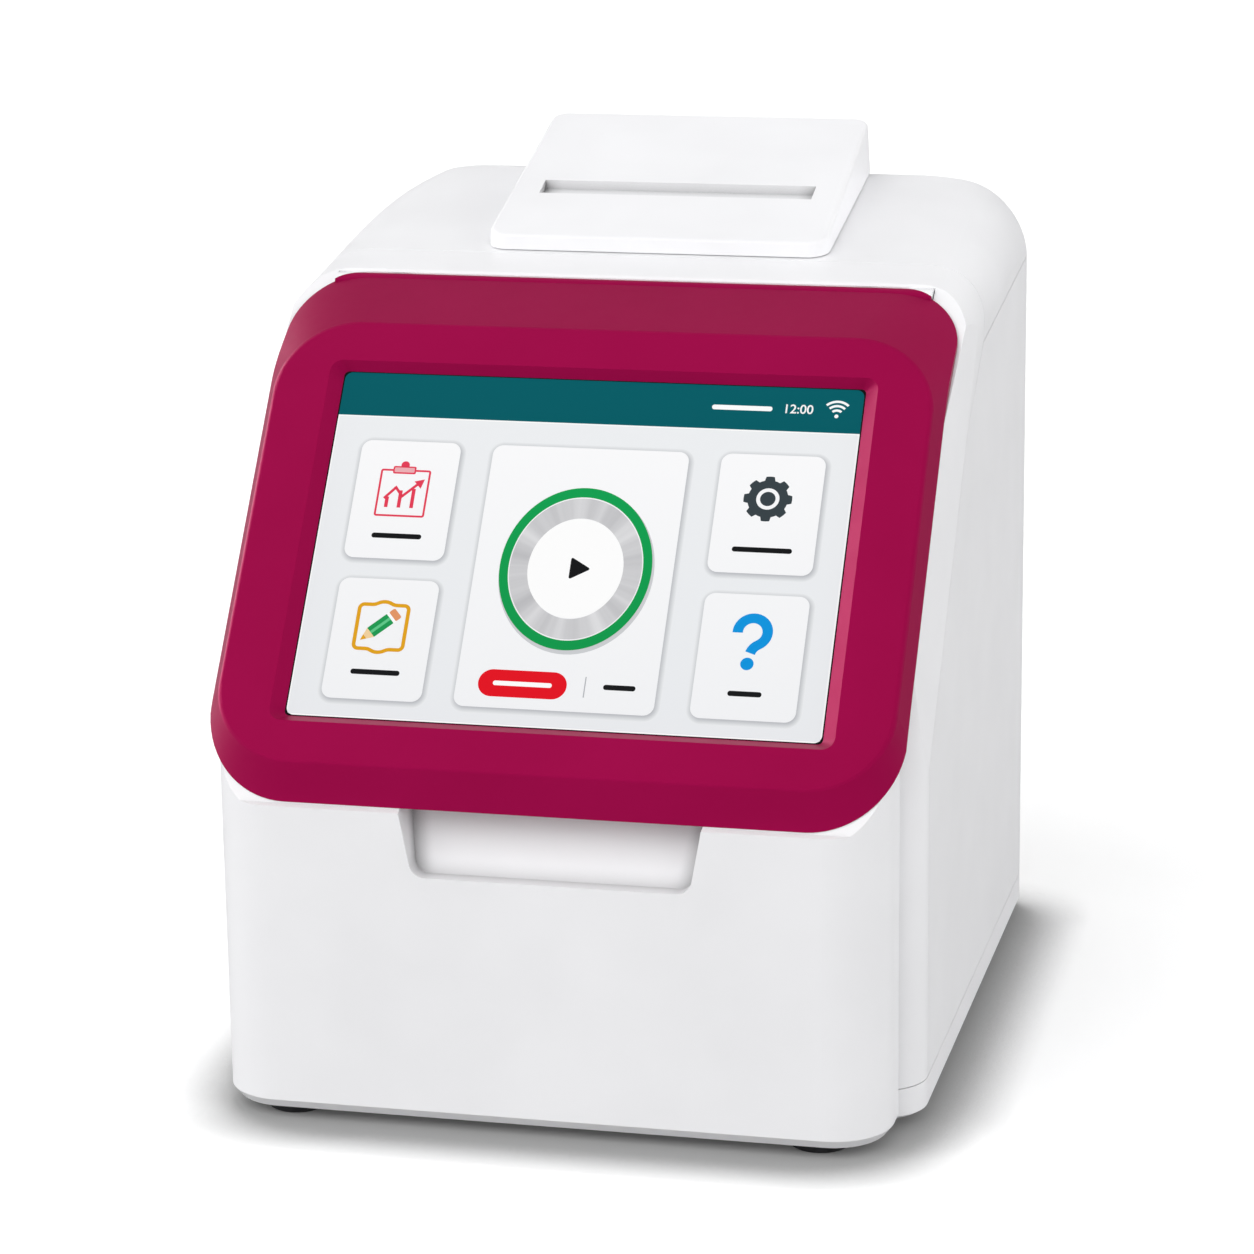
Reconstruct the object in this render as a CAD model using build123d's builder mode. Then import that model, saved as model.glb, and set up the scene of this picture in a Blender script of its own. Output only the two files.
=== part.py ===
"""Benchtop chemistry analyzer with a flip-up touch-screen lid and a roof-top printer.

Millimetres, +Z up, the front of the instrument faces -Y and +X is to the right of someone
facing it. The origin is on the table, under the middle of the footprint.
"""
from build123d import *
import math
import os

os.makedirs("parts", exist_ok=True)

# ---------------------------------------------------------------- driving dimensions
BODY_WIDTH = 223.2          # main body, over the side panels
FRONT_WIDTH = 210.0         # narrower front shell
BODY_DEPTH = 250.0          # front shell face to rear panel
FOOT_HEIGHT = 3.2           # what the rubber feet lift the case by
BASE_TOP = 13.1             # seam between the base tray and the panels
SHELL_STEP = 26.5           # how far the front shell stands ahead of the main body
FRONT_CORNER_R = 18.8       # front shell, vertical corners
BODY_CORNER_R = 14.5        # main body, front vertical corners
REAR_CORNER_R = 9.0         # main body, rear vertical corners
REAR_TOP_R = 14.0           # main body, roof to rear panel
# roof edges: (depth, rounding beside the roof, radius of the roof's crown)
ROOF_SECTIONS = [
    (-110.0, 11.5, 25.0), (-33.0, 11.5, 25.0), (46.0, 16.5, 55.0), (90.0, 19.8, 105.0), (127.0, 34.5, 150.0),
]
CROWN_FROM = 77.0           # degrees of the rounding where the flatter crown takes over
WALL = 2.8                  # moulded wall thickness
SHEET = 1.6                 # folded sheet metal thickness
SEAM = 0.35                 # parting gap between neighbouring mouldings
GAP = 0.4                   # clearance between a moving and a fixed piece
SHAFT_FIT = 0.06            # a bearing's bore over its shaft
RUNNING_FIT = 0.08          # a barrel's bore over its hinge pins

SCREEN_TILT = 38.6          # degrees the screen leans back from vertical
SCREEN_Y, SCREEN_Z = -73.15, 172.15   # centre of the visible screen
SCREEN_W, SCREEN_H = 167.3, 117.9     # visible screen, an 8 inch panel
RECESS_W, RECESS_H, RECESS_R = 175.4, 123.2, 4.0   # screen recess in the lid face
LID_WALL = 2.75             # lid face above the screen plane
LID_FACE_W, LID_FACE_H, LID_FACE_R = 210.2, 150.0, 26.0
LID_WIDTH, LID_CORNER_R = 216.6, 30.0 # lid at its rim
LID_TOP, LID_TOP_R = 103.2, 24.0      # lid's outline above the screen centre
LID_RIM_DROP = 5.5          # rim below the lid face
RIM_FALL_START = -45.0      # below this the rim falls away towards the lid's lower edge
DRAFT_DEPTH = 24.5          # the front frame widens to the body's width over this depth

ROOF_SLOPE = 9.9            # degrees the roof rises towards the rear
ROOF_Y, ROOF_Z = 26.0, 246.5          # front edge of the roof moulding
SIDE_TOP_FRONT = (18.1, 223.5)        # top seam of the side panels, front end
SIDE_TOP_REAR = (125.0, 235.0)        # and its rear end

LID_AXIS = (3.4, 239.0)     # lid hinge, along X
LID_BARREL_R = 3.5
LID_PIN_R = 1.1
BARREL_SIDE = 97.6          # half length of the lid's hinge barrel
CAP_START = 89.5            # inner end of the white caps that complete the barrel's ends
GROOVE_SIDE = 98.0          # half length of the groove that it turns in
LUG_X, LUG_W, LUG_R = 77.0, 6.0, 2.1  # hinge lugs of the frame, hidden inside the barrel
LUG_STEM = 1.0              # half thickness of the stem under each lug
ROOF_LIP_Y = 6.3            # front edge of the roof, over the rear of the barrel

OPENING_W = 184.0           # test chamber mouth in the front frame
OPENING_LOW, OPENING_HIGH = -68.0, 69.0
OPENING_R = 12.0
DECK_TOP = 99.0             # floor of the test chamber
WELL_Y = -40.0              # centre of the rotor well
WELL_R = 43.5               # inside radius of the rotor well
WELL_FLOOR = 76.0
DISC_R = 40.0
SPINDLE_R = 3.0

PRINTER_X = 2.5             # middle of the printer
PRINTER_W = 114.0
PRINTER_FRONT_Y, PRINTER_REAR_Y = 27.2, 118.0
PRINTER_LIP = 5.0           # height of the cover's front lip
PRINTER_TOP_Z = 280.4
COVER_AXIS = (115.4, 264.9) # printer cover hinge, along X
COVER_BARREL_R = 2.35
ROLL_AXIS = (72.0, 229.0)   # paper roll
ROLL_R = 20.0
PAPER_W = 79.5
PLATEN_AXIS = (51.0, 246.6)
PLATEN_R, PLATEN_SHAFT_R = 5.0, 2.0

# ---------------------------------------------------------------- derived places
HALF = BODY_WIDTH / 2
FRONT_HALF = FRONT_WIDTH / 2
FRONT_Y = -BODY_DEPTH / 2
REAR_Y = BODY_DEPTH / 2
STEP_Y = FRONT_Y + SHELL_STEP
FAR = 400.0                 # longer than anything it has to cut
RIM_MARGIN = 50.0           # how far the frame's draft is carried out past the lid's rim
tilt = math.radians(SCREEN_TILT)
UP_FACE = Vector(0, math.sin(tilt), math.cos(tilt))
OUT_FACE = Vector(0, -math.cos(tilt), math.sin(tilt))
SCREEN_POINT = Vector(0, SCREEN_Y, SCREEN_Z)
RIM_RISE = LID_WALL - LID_RIM_DROP
FRAME_RISE = RIM_RISE - GAP


def screen_plane(rise=0.0):
    """Plane parallel to the screen, `rise` in front of it; its local y runs up the lid."""
    return Plane(origin=SCREEN_POINT + OUT_FACE * rise, x_dir=(1, 0, 0), z_dir=OUT_FACE)


def on_face(up, rise):
    """(y, z) of a point of the lid's middle section, `up` from the screen centre."""
    point = SCREEN_POINT + UP_FACE * up + OUT_FACE * rise
    return (point.Y, point.Z)


def roof_height(y):
    """Height of the sloping roof plane at depth y."""
    return ROOF_Z + (y - ROOF_Y) * math.tan(math.radians(ROOF_SLOPE))


def side_top(y, drop=0.0):
    """Height of the side panels' top seam at depth y."""
    slope = (SIDE_TOP_REAR[1] - SIDE_TOP_FRONT[1]) / (SIDE_TOP_REAR[0] - SIDE_TOP_FRONT[0])
    return SIDE_TOP_FRONT[1] + (y - SIDE_TOP_FRONT[0]) * slope - drop


FRAME_BEND = on_face(50.0, FRAME_RISE)
FRAME_TOP = (7.4, roof_height(7.4))
FRAME_LOW = on_face(RIM_FALL_START, FRAME_RISE)
RIM_BEND = on_face(50.0, RIM_RISE)
RIM_LOW = on_face(RIM_FALL_START, RIM_RISE)
RIM_BOTTOM = (-123.1, 102.7)
# seam between the front frame and all that is behind it, from the floor to the roof
FRONT_SEAM = [
    (-84.0, BASE_TOP), (-84.0, 113.0), (-13.8, 201.0), SIDE_TOP_FRONT, (ROOF_Y, ROOF_Z + 1.0),
]


def frame_band(y, rise=0.0):
    """Height of the front frame's sloping top band at depth y, plus `rise`."""
    slope = (FRAME_TOP[1] - FRAME_BEND[1]) / (FRAME_TOP[0] - FRAME_BEND[0])
    return FRAME_BEND[1] + (y - FRAME_BEND[0]) * slope + rise


def shifted(points, dy):
    """The same corner list moved along Y."""
    return [(y + dy, z) for y, z in points]


def prism_x(points, x_low=-HALF - 5, x_high=HALF + 5):
    """Solid whose YZ outline is the corner list, from x_low to x_high."""
    with BuildPart() as prism:
        with BuildSketch(Plane.YZ.offset(x_low)):
            with BuildLine():
                Polyline(*points, close=True)
            make_face()
        extrude(amount=x_high - x_low)
    return prism.part


def block(x, y, z):
    """Box from three (low, high) pairs."""
    with BuildPart() as box:
        with BuildSketch(Plane.XY.offset(z[0])):
            with Locations(((x[0] + x[1]) / 2, (y[0] + y[1]) / 2)):
                Rectangle(x[1] - x[0], y[1] - y[0])
        extrude(amount=z[1] - z[0])
    return box.part


def rod_x(axis, radius, x_low, x_high):
    """Round bar along X about an (y, z) axis."""
    with BuildPart() as rod:
        with BuildSketch(Plane.YZ.offset(x_low)):
            with Locations(axis):
                Circle(radius)
        extrude(amount=x_high - x_low)
    return rod.part


def roof_section(y, side_r, crown_r, inset):
    """Upright face across the body at depth y: its sides, their rounding and the roof's crown."""
    turn = math.radians(CROWN_FROM)
    swing = crown_r - side_r
    side_centre = (HALF - side_r, swing * math.sin(turn) - crown_r)
    crown_centre = (side_centre[0] - swing * math.cos(turn), -crown_r)

    def on_arc(centre, radius, degrees):
        angle = math.radians(degrees)
        return (
            centre[0] + (radius - inset) * math.cos(angle), centre[1] + (radius - inset) * math.sin(angle)
        )

    side_low, side_high = on_arc(side_centre, side_r, 0), on_arc(side_centre, side_r, CROWN_FROM)
    crown_low, crown_top = on_arc(crown_centre, crown_r, CROWN_FROM), on_arc(crown_centre, crown_r, 90)
    with BuildSketch(Plane(origin=(0, y, roof_height(y)), x_dir=(-1, 0, 0), z_dir=(0, 1, 0))) as section:
        with BuildLine():
            Polyline((0, -FAR), (HALF - inset, -FAR), side_low)
            ThreePointArc(side_low, on_arc(side_centre, side_r, CROWN_FROM / 2), side_high)
            ThreePointArc(crown_low, on_arc(crown_centre, crown_r, CROWN_FROM / 2 + 45), crown_top)
            Line(crown_top, (0, -inset))
            mirror(about=Plane.YZ)
        make_face()
    return section.sketch.face()


def body_block(inset=0.0):
    """Outer form of the main body, pulled in by `inset` on every side."""
    rim_low_z = FRAME_BEND[1] - (FRAME_BEND[0] - STEP_Y) / math.tan(tilt)
    with BuildPart() as body:
        with BuildSketch(Plane.YZ) as outline:
            with BuildLine():
                Polyline(
                    (STEP_Y, FOOT_HEIGHT),
                    (STEP_Y, rim_low_z),
                    FRAME_BEND,
                    FRAME_TOP,
                    (REAR_Y, roof_height(REAR_Y)),
                    (REAR_Y, FOOT_HEIGHT),
                    close=True,
                )
            make_face()
            rear_top = outline.vertices().sort_by(Axis((0, 0, 0), (0, 1, 1)))[-1]
            fillet(rear_top, REAR_TOP_R)
            if inset:
                offset(amount=-inset, mode=Mode.REPLACE, kind=Kind.INTERSECTION)
        extrude(amount=HALF - inset, both=True)
        with BuildSketch(Plane.XY):
            with BuildLine():
                front, rear = STEP_Y + inset, REAR_Y - inset
                side = HALF - inset
                FilletPolyline((0, front), (side, front), (side, 0), radius=BODY_CORNER_R - inset)
                FilletPolyline((side, 0), (side, rear), (0, rear), radius=REAR_CORNER_R - inset)
                mirror(about=Plane.YZ)
            make_face()
        extrude(amount=FAR, mode=Mode.INTERSECT)
        # the roof's edges grow rounder towards the rear
        loft(sections=[roof_section(*sizes, inset) for sizes in ROOF_SECTIONS], mode=Mode.INTERSECT)
        # the front frame narrows towards the lid's rim
        splay = (BODY_WIDTH - LID_WIDTH) / 2 / DRAFT_DEPTH
        rim_half = LID_WIDTH / 2 - inset
        rim_origin = SCREEN_POINT + OUT_FACE * FRAME_RISE
        with BuildSketch(Plane(origin=rim_origin, x_dir=(1, 0, 0), z_dir=UP_FACE)):
            with BuildLine():
                Polyline(
                    (-rim_half + RIM_MARGIN * splay, -RIM_MARGIN),
                    (rim_half - RIM_MARGIN * splay, -RIM_MARGIN),
                    (rim_half + FAR * splay, FAR), (-rim_half - FAR * splay, FAR), close=True,
                )
            make_face()
        extrude(amount=FAR, both=True, mode=Mode.INTERSECT)
    return body.part


def face_prism(width, low, high, radius, rise_low, rise_high):
    """Rounded rectangular bar square to the screen, between two rises."""
    with BuildPart() as bar:
        with BuildSketch(screen_plane(rise_low)):
            with Locations((0, (low + high) / 2)):
                RectangleRounded(width, high - low, radius)
        extrude(amount=rise_high - rise_low)
    return bar.part


def save(builder, name):
    """Label a finished piece and write it to its own file."""
    builder.part.label = name
    export_step(builder.part, f"parts/{name}.step")
    print(name, len(builder.part.solids()), round(builder.part.volume))


outer_body = body_block()
inner_body = body_block(WALL)
sheet_body = body_block(WALL + SHEET)
chamber_mouth = face_prism(OPENING_W, OPENING_LOW, OPENING_HIGH, OPENING_R, -45.0, 20.0)

# ---------------------------------------------------------------- lid seal around the chamber mouth
SEAL_W = 3.0
SEAL_DROP = 2.0             # depth of the seal, measured straight down
SEAL_MARGIN = 2.5
seal_low, seal_high = OPENING_LOW - SEAL_MARGIN, OPENING_HIGH + SEAL_MARGIN
seal_inner_w = OPENING_W + 2 * SEAL_MARGIN
seal_line = [(RIM_BOTTOM[0], RIM_BOTTOM[1] - GAP), FRAME_LOW, FRAME_BEND, FRAME_TOP]
with BuildPart() as seal_ring:
    add(face_prism(
        seal_inner_w + 2 * SEAL_W, seal_low - SEAL_W, seal_high + SEAL_W,
        OPENING_R + SEAL_MARGIN + SEAL_W, -30.0, 10.0,
    ))
    add(face_prism(
        seal_inner_w, seal_low, seal_high, OPENING_R + SEAL_MARGIN, -31.0, 11.0,
    ), mode=Mode.SUBTRACT)
    # it follows the surface of the front shell and of the front frame
    add(prism_x([*seal_line, *[(y, z - SEAL_DROP) for y, z in reversed(seal_line)]]), mode=Mode.INTERSECT)
save(seal_ring, "lid_seal")

# ---------------------------------------------------------------- front shell, with its finger scoop
SCOOP_X = 3.0
SCOOP_TOP_W, SCOOP_BOTTOM_W = 94.0, 86.0
SCOOP_BOTTOM = 81.6
SCOOP_DEPTH = 15.0
SCOOP_R = 5.0
SCOOP_SIDE_Z = 103.0        # height where the scoop's sides turn upright
SHELL_CHAMFER = 3.0
LEDGE_DROP = 3.5            # thickness of the strip under the lid's lower edge
LEDGE_BACK = -7.2           # rise of its rear side
shell_back = STEP_Y - SEAM
shell_top = [
    (FRONT_Y, RIM_BOTTOM[1] - 1.0),
    (RIM_BOTTOM[0], RIM_BOTTOM[1] - GAP),
    FRAME_LOW,
    on_face(-30.0, FRAME_RISE),
]


def front_block(inset):
    """Outer form of the front shell, pulled in by `inset`; open towards the rear."""
    with BuildPart() as form:
        with BuildSketch(Plane.XY.offset(FOOT_HEIGHT)):
            with BuildLine():
                front, side = FRONT_Y + inset, FRONT_HALF - inset
                FilletPolyline(
                    (0, front), (side, front), (side, shell_back), radius=FRONT_CORNER_R - inset
                )
                Line((side, shell_back), (0, shell_back))
                mirror(about=Plane.YZ)
            make_face()
        extrude(amount=FAR)
        top = [(FRONT_Y - 5, shell_top[0][1] - inset)] + [(y, z - 1.6 * inset) for y, z in shell_top]
        with BuildSketch(Plane.YZ):
            with BuildLine():
                Polyline(*top, (0, 0), (FRONT_Y - 5, 0), close=True)
            make_face()
        extrude(amount=FAR, both=True, mode=Mode.INTERSECT)
    return form.part


with BuildPart() as front_shell:
    add(front_block(0.0))
    bottom_rim = front_shell.faces().sort_by(Axis.Z)[0].edges().filter_by(
        lambda edge: edge.center().Y < shell_back - 0.5
    )
    chamfer(bottom_rim, SHELL_CHAMFER, SHELL_CHAMFER * 0.8)
    # hollow behind the wall, closed above by the slanting ledge that the lid rests on
    with BuildSketch(Plane.XY.offset(FOOT_HEIGHT)):
        with BuildLine():
            front, side = FRONT_Y + WALL, FRONT_HALF - WALL
            FilletPolyline(
                (0, front), (side, front), (side, 0), radius=FRONT_CORNER_R - WALL
            )
            Line((side, 0), (0, 0))
            mirror(about=Plane.YZ)
        make_face()
    extrude(amount=FAR, mode=Mode.SUBTRACT)
    add(front_block(0.0) & prism_x([
        (FRONT_Y - 5, shell_top[0][1] - LEDGE_DROP), (shell_top[1][0], shell_top[1][1] - LEDGE_DROP),
        on_face(-80.0, LEDGE_BACK), on_face(-30.0, FRAME_RISE - WALL),
        on_face(-30.0, 30.0), (FRONT_Y - 5, 160.0),
    ]))
    # finger scoop: a walled pocket under the lid's lower edge
    scoop_box = block(
        (SCOOP_X - SCOOP_TOP_W / 2 - WALL, SCOOP_X + SCOOP_TOP_W / 2 + WALL),
        (FRONT_Y, FRONT_Y + SCOOP_DEPTH + WALL),
        (SCOOP_BOTTOM - WALL, 130.0),
    ) & front_block(0.0)
    add(scoop_box)
    with BuildSketch(Plane.XZ.offset(-FRONT_Y)) as scoop_mouth:
        with BuildLine():
            half_top = SCOOP_TOP_W / 2
            half_low = SCOOP_BOTTOM_W / 2
            scoop_high = SCOOP_BOTTOM + 40.0
            Polyline(
                (SCOOP_X - half_low, SCOOP_BOTTOM), (SCOOP_X + half_low, SCOOP_BOTTOM),
                (SCOOP_X + half_top, SCOOP_SIDE_Z), (SCOOP_X + half_top, scoop_high),
                (SCOOP_X - half_top, scoop_high), (SCOOP_X - half_top, SCOOP_SIDE_Z), close=True,
            )
        make_face()
        fillet(scoop_mouth.vertices().group_by(Axis.Z)[0], SCOOP_R)
    scoop_cut = extrude(amount=-SCOOP_DEPTH, mode=Mode.PRIVATE)
    scoop_slope = prism_x([
        (FRONT_Y - 1, SCOOP_BOTTOM - 1), (FRONT_Y + 5.0, SCOOP_BOTTOM - 1),
        (FRONT_Y + SCOOP_DEPTH, 101.0), (FRONT_Y + SCOOP_DEPTH, 140.0), (FRONT_Y - 1, 140.0),
    ])
    add(scoop_cut & scoop_slope, mode=Mode.SUBTRACT)
    add(chamber_mouth, mode=Mode.SUBTRACT)
    add(seal_ring.part, mode=Mode.SUBTRACT)
save(front_shell, "front_shell")

# ---------------------------------------------------------------- front frame
HINGE_GROOVE_R = LID_BARREL_R + GAP
groove_floor = LID_AXIS[1] - HINGE_GROOVE_R
beam_rear = LID_AXIS[0] + HINGE_GROOVE_R + WALL
seam_front = shifted(FRONT_SEAM, -SEAM / 2)
frame_region = prism_x([
    (FRONT_Y - 10, BASE_TOP + SEAM), (seam_front[0][0], BASE_TOP + SEAM),
    *seam_front[1:], (seam_front[-1][0], FAR), (FRONT_Y - 10, FAR),
])
with BuildPart() as front_frame:
    add(outer_body)
    add(inner_body, mode=Mode.SUBTRACT)
    add(frame_region, mode=Mode.INTERSECT)
    add(chamber_mouth, mode=Mode.SUBTRACT)
    add(seal_ring.part, mode=Mode.SUBTRACT)
    # beam under and behind the hinge groove
    add(prism_x([
        (-8.0, 230.6), (-4.0, groove_floor - WALL), (beam_rear, groove_floor - WALL),
        (beam_rear, roof_height(beam_rear) - WALL / 2), (FRAME_TOP[0], FRAME_TOP[1] - WALL / 2),
        (-8.0, frame_band(-8.0, -WALL / 2)),
    ], -GROOVE_SIDE - WALL, GROOVE_SIDE + WALL))
    # groove for the lid's barrel, open to the top and front so that the lid can swing up
    add(rod_x(LID_AXIS, HINGE_GROOVE_R, -GROOVE_SIDE, GROOVE_SIDE), mode=Mode.SUBTRACT)
    add(prism_x([
        (LID_AXIS[0], groove_floor), (LID_AXIS[0], LID_AXIS[1]), (ROOF_LIP_Y, LID_AXIS[1]),
        (ROOF_LIP_Y, 250.0), (-12.0, 250.0), (-12.0, groove_floor),
    ], -GROOVE_SIDE, GROOVE_SIDE), mode=Mode.SUBTRACT)
    for side in (-1, 1):
        lug_low, lug_high = side * LUG_X - LUG_W / 2, side * LUG_X + LUG_W / 2
        add(rod_x(LID_AXIS, LUG_R, lug_low, lug_high))
        add(block(
            (lug_low, lug_high), (LID_AXIS[0] - LUG_STEM, LID_AXIS[0] + LUG_STEM),
            (groove_floor - WALL / 2, LID_AXIS[1]),
        ))
        add(rod_x(LID_AXIS, LID_PIN_R, lug_low - 1, lug_high + 1), mode=Mode.SUBTRACT)
save(front_frame, "front_frame")

# ---------------------------------------------------------------- base tray and feet
TRAY_FLOOR = 2.5
TRAY_CHAMFER = (1.8, 1.2)
TONGUE_HALF, TONGUE_R = 100.0, 14.0     # tongue that closes the front shell from below
TONGUE_FRONT = FRONT_Y + WALL + 0.6
TONGUE_LAP = 1.0
VENT_X, VENT_Y = (-55.0, 62.0), 40.0    # ventilation slots in the floor
VENT_COUNT, VENT_PITCH, VENT_LENGTH, VENT_W = 7, 8.0, 44.0, 3.2
BOSS_PITCH_X, BOSS_PITCH_Y, BOSS_R, BOSS_HOLE_R = 188.0, 170.0, 5.0, 1.6
FOOT_R, FOOT_EDGE_R = 9.5, 0.8
FOOT_X, FOOT_FRONT_Y, FOOT_REAR_Y = 83.0, -110.5, 105.0
with BuildPart() as base_tray:
    add(outer_body)
    add(block((-HALF, HALF), (FRONT_Y, REAR_Y), (FOOT_HEIGHT, BASE_TOP)), mode=Mode.INTERSECT)
    low_edges = base_tray.faces().sort_by(Axis.Z)[0].edges()
    chamfer(low_edges, *TRAY_CHAMFER)
    tray_inside = block((-HALF, HALF), (FRONT_Y, REAR_Y), (FOOT_HEIGHT + TRAY_FLOOR, FAR))
    add(inner_body & tray_inside, mode=Mode.SUBTRACT)
    with BuildSketch(Plane.XY.offset(FOOT_HEIGHT)):
        with BuildLine():
            tongue_rear = STEP_Y + TONGUE_LAP
            FilletPolyline(
                (0, TONGUE_FRONT), (TONGUE_HALF, TONGUE_FRONT), (TONGUE_HALF, tongue_rear), radius=TONGUE_R
            )
            Line((TONGUE_HALF, tongue_rear), (0, tongue_rear))
            mirror(about=Plane.YZ)
        make_face()
    extrude(amount=TRAY_FLOOR)
    # ventilation slots under the power supply and the board
    with BuildSketch(Plane.XY.offset(FOOT_HEIGHT)):
        for x in VENT_X:
            with Locations((x, VENT_Y)):
                with GridLocations(VENT_PITCH, 0.0, VENT_COUNT, 1):
                    SlotOverall(VENT_LENGTH, VENT_W, rotation=90)
    extrude(amount=TRAY_FLOOR, mode=Mode.SUBTRACT)
    # bosses that carry the chassis
    with BuildSketch(Plane.XY.offset(FOOT_HEIGHT + TRAY_FLOOR)):
        with GridLocations(BOSS_PITCH_X, BOSS_PITCH_Y, 2, 2):
            Circle(BOSS_R)
        with Locations((0, 0)):
            Circle(BOSS_R)
    extrude(amount=BASE_TOP - FOOT_HEIGHT - TRAY_FLOOR)
    with BuildSketch(Plane.XY.offset(FOOT_HEIGHT)):
        with GridLocations(BOSS_PITCH_X, BOSS_PITCH_Y, 2, 2):
            Circle(BOSS_HOLE_R)
    extrude(amount=FAR, mode=Mode.SUBTRACT)
save(base_tray, "base_tray")

foot_places = {
    "foot_front_left": (-FOOT_X, FOOT_FRONT_Y),
    "foot_front_right": (FOOT_X, FOOT_FRONT_Y),
    "foot_rear_left": (-FOOT_X, FOOT_REAR_Y),
    "foot_rear_right": (FOOT_X, FOOT_REAR_Y),
}
for foot_name, (foot_x, foot_y) in foot_places.items():
    with BuildPart() as foot:
        with BuildSketch(Plane.XY) as pad:
            with Locations((foot_x, foot_y)):
                Circle(FOOT_R)
        extrude(amount=FOOT_HEIGHT)
        fillet(foot.edges().sort_by(Axis.Z)[0], FOOT_EDGE_R)
    save(foot, foot_name)

# ---------------------------------------------------------------- side panels, roof and rear
seam_rear = shifted(FRONT_SEAM, SEAM / 2)
PANEL_REAR = 114.0
PANEL_BEND = 4.0            # how far a side panel bends in under the roof
panel_region = [
    (seam_rear[0][0], BASE_TOP + SEAM), *seam_rear[1:3],
    (seam_rear[3][0], side_top(seam_rear[3][0], SEAM)),
    (PANEL_REAR, side_top(PANEL_REAR, SEAM)), (PANEL_REAR, BASE_TOP + SEAM),
]
for panel_name, x_low, x_high in (
    ("side_panel_left", -HALF - 1, -HALF + WALL + PANEL_BEND),
    ("side_panel_right", HALF - WALL - PANEL_BEND, HALF + 1),
):
    with BuildPart() as side_panel:
        add(outer_body)
        add(inner_body, mode=Mode.SUBTRACT)
        add(prism_x(panel_region, x_low, x_high), mode=Mode.INTERSECT)
    save(side_panel, panel_name)

WELL_W = 101.0              # printer well, inside
WELL_FRONT, WELL_REAR = 36.5, 107.5
well_low_x, well_high_x = PRINTER_X - WELL_W / 2, PRINTER_X + WELL_W / 2
COVER_LUG_X = 42.0          # printer cover hinge lugs, each side of the printer's middle
COVER_LUG_W = 6.0
COVER_PIN_R = 1.2
with BuildPart() as top_shell:
    add(outer_body)
    add(inner_body, mode=Mode.SUBTRACT)
    add(prism_x([
        seam_rear[3], seam_rear[4], (seam_rear[4][0], FAR), (REAR_Y + 5, FAR),
        (REAR_Y + 5, side_top(REAR_Y + 5)),
    ]), mode=Mode.INTERSECT)
    add(block((well_low_x, well_high_x), (WELL_FRONT, WELL_REAR), (200.0, FAR)), mode=Mode.SUBTRACT)
    for side in (-1, 1):
        lug_x = PRINTER_X + side * COVER_LUG_X
        lug_low, lug_high = lug_x - COVER_LUG_W / 2, lug_x + COVER_LUG_W / 2
        add(rod_x(COVER_AXIS, COVER_BARREL_R - 0.15, lug_low, lug_high))
        add(prism_x([
            (COVER_AXIS[0] - 1.9, 260.5), (COVER_AXIS[0] + 1.9, 261.0),
            (COVER_AXIS[0] + 1.9, COVER_AXIS[1]), (COVER_AXIS[0] - 1.9, COVER_AXIS[1]),
        ], lug_low, lug_high))
        add(rod_x(COVER_AXIS, COVER_PIN_R, lug_low - 1, lug_high + 1), mode=Mode.SUBTRACT)
save(top_shell, "top_shell")

FAN_X, FAN_Z, FAN_SIZE, FAN_DEPTH = -52.0, 150.0, 60.0, 15.0
INLET_X, INLET_Z = 62.0, 48.0
INLET_W, INLET_H = 30.0, 50.0
PORTS = {"usb_low": (-20.0, 15.0, 8.0), "usb_high": (-42.0, 15.0, 8.0), "network": (-66.0, 17.0, 14.0)}
BOARD_TOP = 25.6
PANEL_SCREWS = [(-100.0, 26.0), (100.0, 26.0), (-100.0, 215.0), (100.0, 215.0)]
FAN_SCREW_PITCH = 50.0
REAR_HEAD_R, SCREW_HEAD_H = 2.6, 1.2
HEAD_CLEAR = 0.1
GRILLE_R, GRILLE_PITCH, GRILLE_SLOT_H = 27.0, 6.0, 3.4
GRILLE_ROWS = 4             # rows on each side of the fan's middle
LOUVRE_X, LOUVRE_Z, LOUVRE_W, LOUVRE_PITCH, LOUVRE_ROWS = 55.0, 120.0, 60.0, 9.0, 7
REAR_CUT = 8.0              # depth of a cut that goes right through the rear panel
PORT_CLEAR = 0.4
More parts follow.
